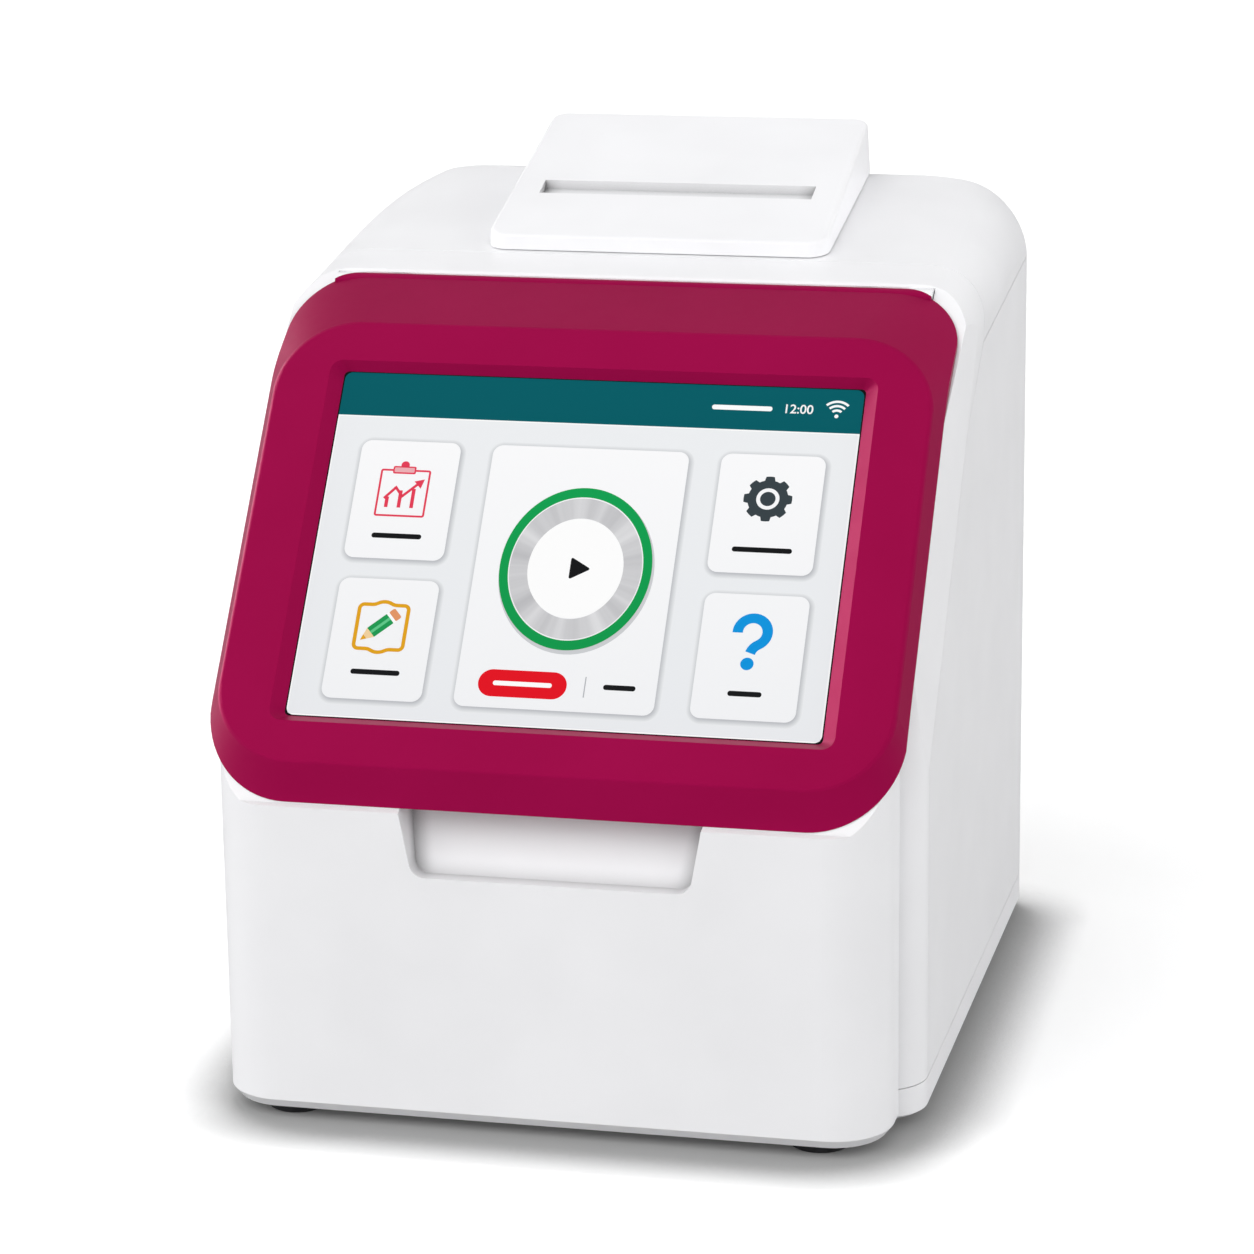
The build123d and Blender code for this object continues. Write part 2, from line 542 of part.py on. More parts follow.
with BuildPart() as rear_panel:
    add(outer_body)
    add(inner_body, mode=Mode.SUBTRACT)
    add(prism_x([
        (PANEL_REAR + SEAM, BASE_TOP + SEAM), (REAR_Y + 5, BASE_TOP + SEAM),
        (REAR_Y + 5, side_top(REAR_Y + 5, SEAM)), (PANEL_REAR + SEAM, side_top(PANEL_REAR, SEAM)),
    ]), mode=Mode.INTERSECT)
    rear_outside = Plane(origin=(0, REAR_Y + 1, 0), x_dir=(1, 0, 0), z_dir=(0, -1, 0))
    with BuildSketch(rear_outside):
        # fan grille: rows of slots inside a circle
        for row in range(-GRILLE_ROWS, GRILLE_ROWS + 1):
            chord = 2 * math.sqrt(GRILLE_R**2 - (row * GRILLE_PITCH) ** 2)
            with Locations((FAN_X, FAN_Z + row * GRILLE_PITCH)):
                SlotOverall(chord, GRILLE_SLOT_H)
        # louvres for the warm air
        for row in range(LOUVRE_ROWS):
            with Locations((LOUVRE_X, LOUVRE_Z + row * LOUVRE_PITCH)):
                SlotOverall(LOUVRE_W, GRILLE_SLOT_H)
        with Locations((INLET_X, INLET_Z)):
            RectangleRounded(INLET_W, INLET_H, 2.0)
        for port_x, port_w, port_h in PORTS.values():
            with Locations((port_x, BOARD_TOP + port_h / 2)):
                Rectangle(port_w + 2 * PORT_CLEAR, port_h + 2 * PORT_CLEAR)
    extrude(amount=REAR_CUT, mode=Mode.SUBTRACT)
    with BuildSketch(rear_outside):
        with Locations(*PANEL_SCREWS):
            Circle(REAR_HEAD_R + HEAD_CLEAR)
        with Locations((FAN_X, FAN_Z)):
            with GridLocations(FAN_SCREW_PITCH, FAN_SCREW_PITCH, 2, 2):
                Circle(REAR_HEAD_R + HEAD_CLEAR)
    extrude(amount=1.0 + SCREW_HEAD_H, mode=Mode.SUBTRACT)
save(rear_panel, "rear_panel")

# ---------------------------------------------------------------- sheet metal chassis
CHASSIS_FLOOR = BASE_TOP + SHEET
CHASSIS_FRONT, CHASSIS_REAR = -94.0, PANEL_REAR - 4.0
CHASSIS_WALL = [
    (-70.0, BASE_TOP), (CHASSIS_REAR, BASE_TOP), (CHASSIS_REAR, 205.0), (0.0, 205.0), (-70.0, 110.0),
]
WINDOW_CORNER_R = 6.0       # lightening windows in both walls
with BuildPart() as chassis:
    add(inner_body)
    add(sheet_body, mode=Mode.SUBTRACT)
    add(prism_x(CHASSIS_WALL), mode=Mode.INTERSECT)
    add(sheet_body & block((-HALF, HALF), (CHASSIS_FRONT, CHASSIS_REAR), (BASE_TOP, CHASSIS_FLOOR)))
    with BuildSketch(Plane.YZ):
        with Locations((35.0, 90.0), (85.0, 90.0)):
            RectangleRounded(36.0, 90.0, WINDOW_CORNER_R)
        with Locations((-30.0, 60.0)):
            RectangleRounded(44.0, 40.0, WINDOW_CORNER_R)
    extrude(amount=HALF, both=True, mode=Mode.SUBTRACT)
    with BuildSketch(Plane.XY.offset(BASE_TOP)):
        with GridLocations(BOSS_PITCH_X, BOSS_PITCH_Y, 2, 2):
            Circle(BOSS_HOLE_R)
    extrude(amount=SHEET, mode=Mode.SUBTRACT)
save(chassis, "chassis")

# ---------------------------------------------------------------- test chamber
DECK_HALF = 96.0
DECK_FRONT, DECK_REAR = -95.2, 18.0
DECK_WALL, DECK_FLOOR, DECK_SILL, DECK_SILL_TOP = 2.2, 2.6, 1.6, 101.0
WELL_WALL = 3.0
WELL_FLANGE_R, WELL_FLANGE_T = 50.5, 1.4
WELL_PASS = 0.8             # gap between the well and the hole in the deck
MOTOR_PASS_R = 7.0          # hole for the spindle in the well's floor
with BuildPart() as inner_deck:
    add(inner_body)
    add(block(
        (-DECK_HALF, DECK_HALF), (DECK_FRONT, DECK_REAR), (DECK_TOP - DECK_FLOOR, 230.0),
    ), mode=Mode.INTERSECT)
    sill_rear = DECK_FRONT + DECK_SILL
    add(block(
        (-DECK_HALF + DECK_WALL, DECK_HALF - DECK_WALL), (sill_rear, DECK_REAR - DECK_WALL), (DECK_TOP, FAR),
    ), mode=Mode.SUBTRACT)
    add(block((-FAR, FAR), (DECK_FRONT - 1, sill_rear), (DECK_SILL_TOP, FAR)), mode=Mode.SUBTRACT)
    with BuildSketch(Plane.XY.offset(DECK_TOP - DECK_FLOOR)):
        with Locations((0, WELL_Y)):
            Circle(WELL_R + WELL_WALL + WELL_PASS)
    extrude(amount=DECK_FLOOR, mode=Mode.SUBTRACT)
save(inner_deck, "inner_deck")

WINDOW_ANGLE = -35.0        # optical window in the well's floor
WINDOW_RING = 34.0
WINDOW_R = 3.0
window_x = WINDOW_RING * math.cos(math.radians(WINDOW_ANGLE))
window_y = WELL_Y + WINDOW_RING * math.sin(math.radians(WINDOW_ANGLE))
WELL_BASE = WELL_FLOOR - 4.0
with BuildPart() as rotor_well:
    with BuildSketch(Plane.XY.offset(WELL_BASE)):
        with Locations((0, WELL_Y)):
            Circle(WELL_R + WELL_WALL)
    extrude(amount=DECK_TOP - WELL_BASE)
    with BuildSketch(Plane.XY.offset(DECK_TOP)):
        with Locations((0, WELL_Y)):
            Circle(WELL_FLANGE_R)
    extrude(amount=WELL_FLANGE_T)
    with BuildSketch(Plane.XY.offset(WELL_FLOOR)):
        with Locations((0, WELL_Y)):
            Circle(WELL_R)
    extrude(amount=FAR, mode=Mode.SUBTRACT)
    mouth_edges = rotor_well.edges().filter_by(GeomType.CIRCLE).group_by(Axis.Z)[-1]
    chamfer(mouth_edges, 0.6)
    with BuildSketch(Plane.XY.offset(WELL_BASE)):
        with Locations((0, WELL_Y)):
            Circle(MOTOR_PASS_R)
        with Locations((window_x, window_y)):
            Circle(WINDOW_R)
    extrude(amount=FAR, mode=Mode.SUBTRACT)
save(rotor_well, "rotor_well")

HEATER_T, HEATER_H, HEATER_LIFT = 0.6, 18.0, 2.0
with BuildPart() as well_heater:
    with BuildSketch(Plane.XY.offset(WELL_BASE + HEATER_LIFT)):
        with Locations((0, WELL_Y)):
            Circle(WELL_R + WELL_WALL + HEATER_T)
            Circle(WELL_R + WELL_WALL, mode=Mode.SUBTRACT)
    extrude(amount=HEATER_H)
save(well_heater, "well_heater")

MOTOR_R, MOTOR_LOW = 17.5, 38.0
MOTOR_FLANGE_R, MOTOR_FLANGE_T = 21.0, 3.0
SHAFT_LOW = 44.0
with BuildPart() as spindle_motor:
    with BuildSketch(Plane.XY.offset(MOTOR_LOW)):
        with Locations((0, WELL_Y)):
            Circle(MOTOR_R)
    extrude(amount=WELL_BASE - MOTOR_FLANGE_T - MOTOR_LOW)
    with BuildSketch(Plane.XY.offset(WELL_BASE - MOTOR_FLANGE_T)):
        with Locations((0, WELL_Y)):
            Circle(MOTOR_FLANGE_R)
    extrude(amount=MOTOR_FLANGE_T)
    chamfer(spindle_motor.edges().sort_by(Axis.Z)[0], 1.0)
    with BuildSketch(Plane.XY.offset(SHAFT_LOW - 0.5)):
        with Locations((0, WELL_Y)):
            Circle(SPINDLE_R + SHAFT_FIT)
    extrude(amount=FAR, mode=Mode.SUBTRACT)
save(spindle_motor, "spindle_motor")

HUB_FLANGE_R, HUB_BOSS_R = 15.0, 5.9
HUB_LOW = WELL_FLOOR + 2.0
DISC_LOW = HUB_LOW + 3.0
DISC_H, DISC_FLOOR = 9.0, 2.0
HUB_TIP = 3.0               # chamfered top of the hub's boss above the disc
CUVETTE_W, CUVETTE_L, CUVETTE_R = 7.0, 4.6, 0.8
POCKET_RING, POCKET_W, POCKET_L, POCKET_COUNT = 18.0, 9.0, 16.0, 3     # larger pockets further in
hub_top = DISC_LOW + DISC_H + HUB_TIP
with BuildPart() as spindle_hub:
    with BuildSketch(Plane.YZ) as hub_section:
        with BuildLine():
            Polyline(
                (0, SHAFT_LOW), (SPINDLE_R, SHAFT_LOW), (SPINDLE_R, HUB_LOW), (HUB_FLANGE_R, HUB_LOW),
                (HUB_FLANGE_R, DISC_LOW), (HUB_BOSS_R, DISC_LOW), (HUB_BOSS_R, hub_top - HUB_TIP / 2),
                (HUB_BOSS_R - HUB_TIP / 2, hub_top), (0, hub_top), close=True,
            )
        make_face()
    revolve(axis=Axis.Z)
spindle_hub.part = Pos(0, WELL_Y, 0) * spindle_hub.part
save(spindle_hub, "spindle_hub")

CUVETTES = 24
with BuildPart() as reagent_disc:
    with BuildSketch(Plane.XY.offset(DISC_LOW)):
        Circle(DISC_R)
        Circle(HUB_BOSS_R + 0.1, mode=Mode.SUBTRACT)
    extrude(amount=DISC_H)
    chamfer(reagent_disc.edges().filter_by(GeomType.CIRCLE).sort_by(SortBy.RADIUS)[-2:], 0.8)
    with BuildSketch(Plane.XY.offset(DISC_LOW + DISC_FLOOR)):
        with PolarLocations(WINDOW_RING, CUVETTES):
            RectangleRounded(CUVETTE_W, CUVETTE_L, CUVETTE_R)
        with PolarLocations(POCKET_RING, POCKET_COUNT):
            RectangleRounded(POCKET_W, POCKET_L, 2.0)
    extrude(amount=DISC_H, mode=Mode.SUBTRACT)
reagent_disc.part = Pos(0, WELL_Y, 0) * reagent_disc.part
save(reagent_disc, "reagent_disc")

OPTICS_X, OPTICS_HALF_Y, OPTICS_LOW = (22.5, 66.0), 14.0, 44.0
OPTICS_HEAD_X, OPTICS_HEAD_HALF_Y, OPTICS_HEAD_H = (26.0, 40.0), 8.0, 4.0
FIN_X, FIN_LOW, FIN_PITCH, FIN_T, FIN_COUNT = (57.0, 66.5), 36.0, 4.4, 1.4, 6
with BuildPart() as optics_module:
    optics_top = WELL_BASE - OPTICS_HEAD_H
    add(block(OPTICS_X, (window_y - OPTICS_HALF_Y, window_y + OPTICS_HALF_Y), (OPTICS_LOW, optics_top)))
    head_y = (window_y - OPTICS_HEAD_HALF_Y, window_y + OPTICS_HEAD_HALF_Y)
    add(block(OPTICS_HEAD_X, head_y, (optics_top, WELL_BASE)))
    chamfer(optics_module.edges().filter_by(Axis.Z), 1.2)
    with BuildSketch(Plane.XY.offset(WELL_BASE)):
        with Locations((window_x, window_y)):
            Circle(WINDOW_R - 0.1)
    extrude(amount=2.6)
    # cooling fins of the lamp end
    for fin in range(FIN_COUNT):
        fin_low = window_y - 12.0 + fin * FIN_PITCH
        add(block(FIN_X, (fin_low, fin_low + FIN_T), (FIN_LOW, OPTICS_LOW)))
save(optics_module, "optics_module")

# posts that carry the deck on the chassis floor
POST_Y, POST_PITCH_X, POST_PITCH_Y, POST_R = -38.0, 168.0, 96.0, 5.0
with BuildPart() as deck_posts:
    with BuildSketch(Plane.XY.offset(CHASSIS_FLOOR)):
        with Locations((0, POST_Y)):
            with GridLocations(POST_PITCH_X, POST_PITCH_Y, 2, 2):
                RegularPolygon(POST_R, 6)
    extrude(amount=DECK_TOP - DECK_FLOOR - CHASSIS_FLOOR)
save(deck_posts, "deck_posts")

# ---------------------------------------------------------------- electronics
BOARD_T = 1.6
BOARD_X, BOARD_Y = (-86.0, 4.0), (24.0, 106.0)
with BuildPart() as main_board:
    add(block(BOARD_X, BOARD_Y, (BOARD_TOP - BOARD_T, BOARD_TOP)))
    add(block((-60.0, -42.0), (50.0, 68.0), (BOARD_TOP, BOARD_TOP + 2.2)))
    add(block((-30.0, -18.0), (40.0, 58.0), (BOARD_TOP, BOARD_TOP + 1.6)))
    add(block((-80.0, -74.0), (30.0, 80.0), (BOARD_TOP, BOARD_TOP + 8.0)))
    for capacitor in range(3):
        with BuildSketch(Plane.XY.offset(BOARD_TOP)):
            with Locations((-8.0, 40.0 + capacitor * 12.0)):
                Circle(4.0)
        extrude(amount=9.0)
save(main_board, "main_board")

with BuildPart() as board_posts:
    with BuildSketch(Plane.XY.offset(CHASSIS_FLOOR)):
        with Locations(((BOARD_X[0] + BOARD_X[1]) / 2, (BOARD_Y[0] + BOARD_Y[1]) / 2)):
            with GridLocations(80.0, 72.0, 2, 2):
                RegularPolygon(3.2, 6)
    extrude(amount=BOARD_TOP - BOARD_T - CHASSIS_FLOOR)
save(board_posts, "board_posts")

PORT_FACE = REAR_Y - 0.6
PORT_WALL, PORT_DEPTH, PORT_LAP = 1.2, 12.0, 8.0
TALL_PORT_H = 10.0          # ports lower than this have a contact tongue
TONGUE_Z = (3.2, 5.2)
for port_name, (port_x, port_w, port_h) in PORTS.items():
    with BuildPart() as port:
        x_range = (port_x - port_w / 2, port_x + port_w / 2)
        add(block(x_range, (BOARD_Y[1] - PORT_LAP, PORT_FACE), (BOARD_TOP, BOARD_TOP + port_h)))
        mouth_x = (x_range[0] + PORT_WALL, x_range[1] - PORT_WALL)
        mouth_z = (BOARD_TOP + PORT_WALL, BOARD_TOP + port_h - PORT_WALL)
        add(block(mouth_x, (PORT_FACE - PORT_DEPTH, PORT_FACE + 1), mouth_z), mode=Mode.SUBTRACT)
        if port_h < TALL_PORT_H:
            tongue_z = (BOARD_TOP + TONGUE_Z[0], BOARD_TOP + TONGUE_Z[1])
            tongue_x = (mouth_x[0] + 1.5, mouth_x[1] - 1.5)
            add(block(tongue_x, (PORT_FACE - PORT_DEPTH, PORT_FACE - 2.0), tongue_z))
    save(port, f"port_{port_name}")

SUPPLY_X, SUPPLY_Y, SUPPLY_TOP, SUPPLY_WALL = (22.0, 86.0), (20.0, 96.0), 52.0, 1.2
MESH_PITCH, MESH_R = 9.0, 3.2
with BuildPart() as power_supply:
    add(block(SUPPLY_X, SUPPLY_Y, (CHASSIS_FLOOR, SUPPLY_TOP)))
    chamfer(power_supply.edges().filter_by(Axis.Z), 1.0)
    add(block(
        (SUPPLY_X[0] + SUPPLY_WALL, SUPPLY_X[1] - SUPPLY_WALL),
        (SUPPLY_Y[0] + SUPPLY_WALL, SUPPLY_Y[1] - SUPPLY_WALL),
        (CHASSIS_FLOOR + SUPPLY_WALL, SUPPLY_TOP - SUPPLY_WALL),
    ), mode=Mode.SUBTRACT)
    with BuildSketch(Plane.XY.offset(SUPPLY_TOP - 2.0)):
        with Locations(((SUPPLY_X[0] + SUPPLY_X[1]) / 2, (SUPPLY_Y[0] + SUPPLY_Y[1]) / 2)):
            with GridLocations(MESH_PITCH, MESH_PITCH, 6, 7):
                RegularPolygon(MESH_R, 6)
    extrude(amount=3.0, mode=Mode.SUBTRACT)
save(power_supply, "power_supply")

ROCKER_Z = INLET_Z + 14.5
ROCKER_AXIS = (REAR_Y - 6.5, ROCKER_Z)
INLET_FACE = REAR_Y - 0.3
BLADES = [(-7.0, -10.0), (0.0, -6.5), (7.0, -10.0)]     # contact blades, from the inlet's middle
SOCKET_DROP, SOCKET_W, SOCKET_H, SOCKET_DEPTH = 8.5, 24.4, 16.6, 16.0
SWITCH_W, SWITCH_H, SWITCH_DEPTH = 21.0, 15.0, 12.5
PIVOT_R, PIVOT_X = 1.4, (9.3, 10.6)
with BuildPart() as power_inlet:
    inlet_front = Plane(origin=(0, INLET_FACE, 0), x_dir=(1, 0, 0), z_dir=(0, -1, 0))
    with BuildSketch(inlet_front):
        with Locations((INLET_X, INLET_Z)):
            RectangleRounded(INLET_W - 0.4, INLET_H - 0.4, 2.0)
    extrude(amount=WALL + 1.0)
    add(block((INLET_X - 19.0, INLET_X + 19.0), (REAR_Y - WALL - 2.0, REAR_Y - WALL),
              (INLET_Z - 29.0, INLET_Z + 29.0)))
    add(block((INLET_X - 14.0, INLET_X + 14.0), (REAR_Y - 22.0, REAR_Y - WALL - 2.0),
              (INLET_Z - 24.0, INLET_Z + 24.0)))
    with BuildSketch(inlet_front):
        with Locations((INLET_X, INLET_Z - SOCKET_DROP)):
            RectangleRounded(SOCKET_W, SOCKET_H, 2.0)
    extrude(amount=SOCKET_DEPTH, mode=Mode.SUBTRACT)
    with BuildSketch(inlet_front):
        with Locations((INLET_X, ROCKER_Z)):
            RectangleRounded(SWITCH_W, SWITCH_H, 1.0)
    extrude(amount=SWITCH_DEPTH, mode=Mode.SUBTRACT)
    # three contact blades in the socket
    with BuildSketch(inlet_front.offset(SOCKET_DEPTH)):
        with Locations(*[(INLET_X + x, INLET_Z + z) for x, z in BLADES]):
            Rectangle(2.0, 4.0)
    extrude(amount=-12.0)
    # pivots of the rocker
    for side in (-1, 1):
        x_low, x_high = sorted((INLET_X + side * PIVOT_X[0], INLET_X + side * PIVOT_X[1]))
        add(rod_x(ROCKER_AXIS, PIVOT_R, x_low, x_high))
save(power_inlet, "power_inlet")

ROCKER_HALF = 9.9
with BuildPart() as power_rocker:
    with BuildSketch(Plane.YZ.offset(INLET_X - ROCKER_HALF)):
        with BuildLine():
            axis_y, axis_z = ROCKER_AXIS
            Polyline(
                (axis_y - 4.2, axis_z - 3.0), (axis_y - 4.2, axis_z + 3.0), (axis_y + 0.5, axis_z + 6.6),
                (axis_y + 4.6, axis_z + 6.6), (axis_y + 3.2, axis_z), (axis_y + 4.6, axis_z - 6.6),
                (axis_y + 0.5, axis_z - 6.6), close=True,
            )
        make_face()
    extrude(amount=2 * ROCKER_HALF)
    add(rod_x(ROCKER_AXIS, PIVOT_R + 0.1, INLET_X - 11, INLET_X - PIVOT_X[0] + 0.1), mode=Mode.SUBTRACT)
    add(rod_x(ROCKER_AXIS, PIVOT_R + 0.1, INLET_X + PIVOT_X[0] - 0.1, INLET_X + 11), mode=Mode.SUBTRACT)
    chamfer(power_rocker.edges().filter_by(Axis.X).group_by(Axis.Y)[-1], 0.5)
save(power_rocker, "power_rocker")

# ---------------------------------------------------------------- cooling fan
FAN_BACK = REAR_Y - WALL
FAN_BORE_R = 28.6
FAN_HUB_R = 13.5
FAN_BLADES = 7
FAN_BLADE_MID = 19.4        # radius of the middle of a blade
FAN_BLADE_L, FAN_BLADE_TURN = 17.0, 24.0
FAN_STRUT_T, FAN_AXLE_R = 1.6, 2.0
fan_rear = Plane(origin=(FAN_X, FAN_BACK, FAN_Z), x_dir=(1, 0, 0), z_dir=(0, -1, 0))
with BuildPart() as fan_frame:
    with BuildSketch(fan_rear):
        RectangleRounded(FAN_SIZE, FAN_SIZE, 3.0)
        Circle(FAN_BORE_R, mode=Mode.SUBTRACT)
        with GridLocations(FAN_SCREW_PITCH, FAN_SCREW_PITCH, 2, 2):
            Circle(2.1, mode=Mode.SUBTRACT)
    extrude(amount=FAN_DEPTH)
    with BuildSketch(fan_rear.offset(FAN_DEPTH - FAN_STRUT_T)):
        Circle(FAN_HUB_R)
        with PolarLocations(21.0, 4, start_angle=30):
            Rectangle(17.0, 2.6)
    extrude(amount=FAN_STRUT_T)
    with BuildSketch(fan_rear.offset(FAN_DEPTH - FAN_STRUT_T)):
        Circle(FAN_AXLE_R)
    extrude(amount=-10.0)
save(fan_frame, "fan_frame")

with BuildPart() as fan_rotor:
    with BuildSketch(fan_rear.offset(1.2)):
        Circle(FAN_HUB_R)
    extrude(amount=FAN_DEPTH - FAN_STRUT_T - 1.2 - 0.5)
    for blade in range(FAN_BLADES):
        for rise, turn, thickness in ((1.8, 0.0, 2.2), (FAN_DEPTH - 3.0, FAN_BLADE_TURN, 1.6)):
            angle = 360.0 * blade / FAN_BLADES + turn
            reach = Vector(FAN_BLADE_MID, 0).rotate(Axis.Z, angle)
            with BuildSketch(fan_rear.offset(rise)):
                with Locations((reach.X, reach.Y)):
                    Rectangle(FAN_BLADE_L, thickness, rotation=angle + FAN_BLADE_TURN / 2)
        loft()
    with BuildSketch(fan_rear.offset(3.0)):
        Circle(FAN_AXLE_R + SHAFT_FIT)
    extrude(amount=FAN_DEPTH, mode=Mode.SUBTRACT)
save(fan_rotor, "fan_rotor")

# ---------------------------------------------------------------- printer in the roof
WELL_SHELL = 2.0
WELL_FLOOR_Z = 205.0
with BuildPart() as printer_well:
    add(inner_body)
    add(block(
        (well_low_x - WELL_SHELL, well_high_x + WELL_SHELL),
        (WELL_FRONT - WELL_SHELL, WELL_REAR + WELL_SHELL), (WELL_FLOOR_Z - WELL_SHELL, FAR),
    ), mode=Mode.INTERSECT)
    add(block((well_low_x, well_high_x), (WELL_FRONT, WELL_REAR), (WELL_FLOOR_Z, FAR)), mode=Mode.SUBTRACT)
save(printer_well, "printer_well")

ROLL_SHAFT_R, CORE_R = 5.0, 8.0
roll_low, roll_high = PRINTER_X - PAPER_W / 2, PRINTER_X + PAPER_W / 2
with BuildPart() as paper_spindle:
    add(rod_x(ROLL_AXIS, ROLL_SHAFT_R, well_low_x, well_high_x))
    chamfer(paper_spindle.edges().filter_by(GeomType.CIRCLE), 0.4)
save(paper_spindle, "paper_spindle")

with BuildPart() as paper_roll:
    add(rod_x(ROLL_AXIS, ROLL_R, roll_low, roll_high))
    add(rod_x(ROLL_AXIS, CORE_R, roll_low, roll_high), mode=Mode.SUBTRACT)
save(paper_roll, "paper_roll")
with BuildPart() as roll_core:
    add(rod_x(ROLL_AXIS, CORE_R, roll_low, roll_high))
    add(rod_x(ROLL_AXIS, ROLL_SHAFT_R + 0.1, roll_low - 1, roll_high + 1), mode=Mode.SUBTRACT)
save(roll_core, "roll_core")

head_top = PLATEN_AXIS[1] - 1.0
head_rear = PLATEN_AXIS[0] - PLATEN_R - 0.3
HEAD_HALF, HEAD_H = 43.0, 12.0
HEAD_FOOT_HALF, HEAD_FOOT_D, HEAD_FOOT_H = 36.0, 4.0, 8.0
with BuildPart() as print_head:
    head_low = head_top - HEAD_H
    add(block((PRINTER_X - HEAD_HALF, PRINTER_X + HEAD_HALF), (WELL_FRONT, head_rear), (head_low, head_top)))
    chamfer(print_head.edges().filter_by(Axis.X).group_by(Axis.Z)[-1].sort_by(Axis.Y)[0], 1.5)
    add(block(
        (PRINTER_X - HEAD_FOOT_HALF, PRINTER_X + HEAD_FOOT_HALF), (WELL_FRONT, WELL_FRONT + HEAD_FOOT_D),
        (head_low - HEAD_FOOT_H, head_low),
    ))
save(print_head, "print_head")

COVER_WALL = 2.5
COVER_TAPER = 3.0
COVER_R, COVER_EDGE_R = 7.0, 1.4
EAR_X = (44.0, 47.0)        # ears that carry the platen roller
COVER_LIP_Z = roof_height(PRINTER_FRONT_Y) + PRINTER_LIP
COVER_SLOPE = (PRINTER_TOP_Z - COVER_LIP_Z) / (PRINTER_REAR_Y - PRINTER_FRONT_Y)


def cover_top(y, drop=0.0):
    """Height of the cover's sloping top at depth y."""
    return COVER_LIP_Z + (y - PRINTER_FRONT_Y) * COVER_SLOPE - drop


def cover_form(inset):
    """Wedge form of the printer cover, pulled in by `inset` on all but its open floor."""
    with BuildPart() as form:
        with BuildSketch(Plane.XY.offset(roof_height(PRINTER_FRONT_Y) - 5.0)):
            with Locations((PRINTER_X, (PRINTER_FRONT_Y + PRINTER_REAR_Y) / 2)):
                RectangleRounded(
                    PRINTER_W - 2 * inset, PRINTER_REAR_Y - PRINTER_FRONT_Y - 2 * inset, COVER_R - inset
                )
        extrude(amount=60.0, taper=COVER_TAPER)
        front, rear = PRINTER_FRONT_Y - 5.0, PRINTER_REAR_Y + 5.0
        add(prism_x([
            (front, roof_height(front) + GAP), (rear, roof_height(rear) + GAP),
            (rear, cover_top(rear, inset)), (front, cover_top(front, inset)),
        ]), mode=Mode.INTERSECT)
    return form.part


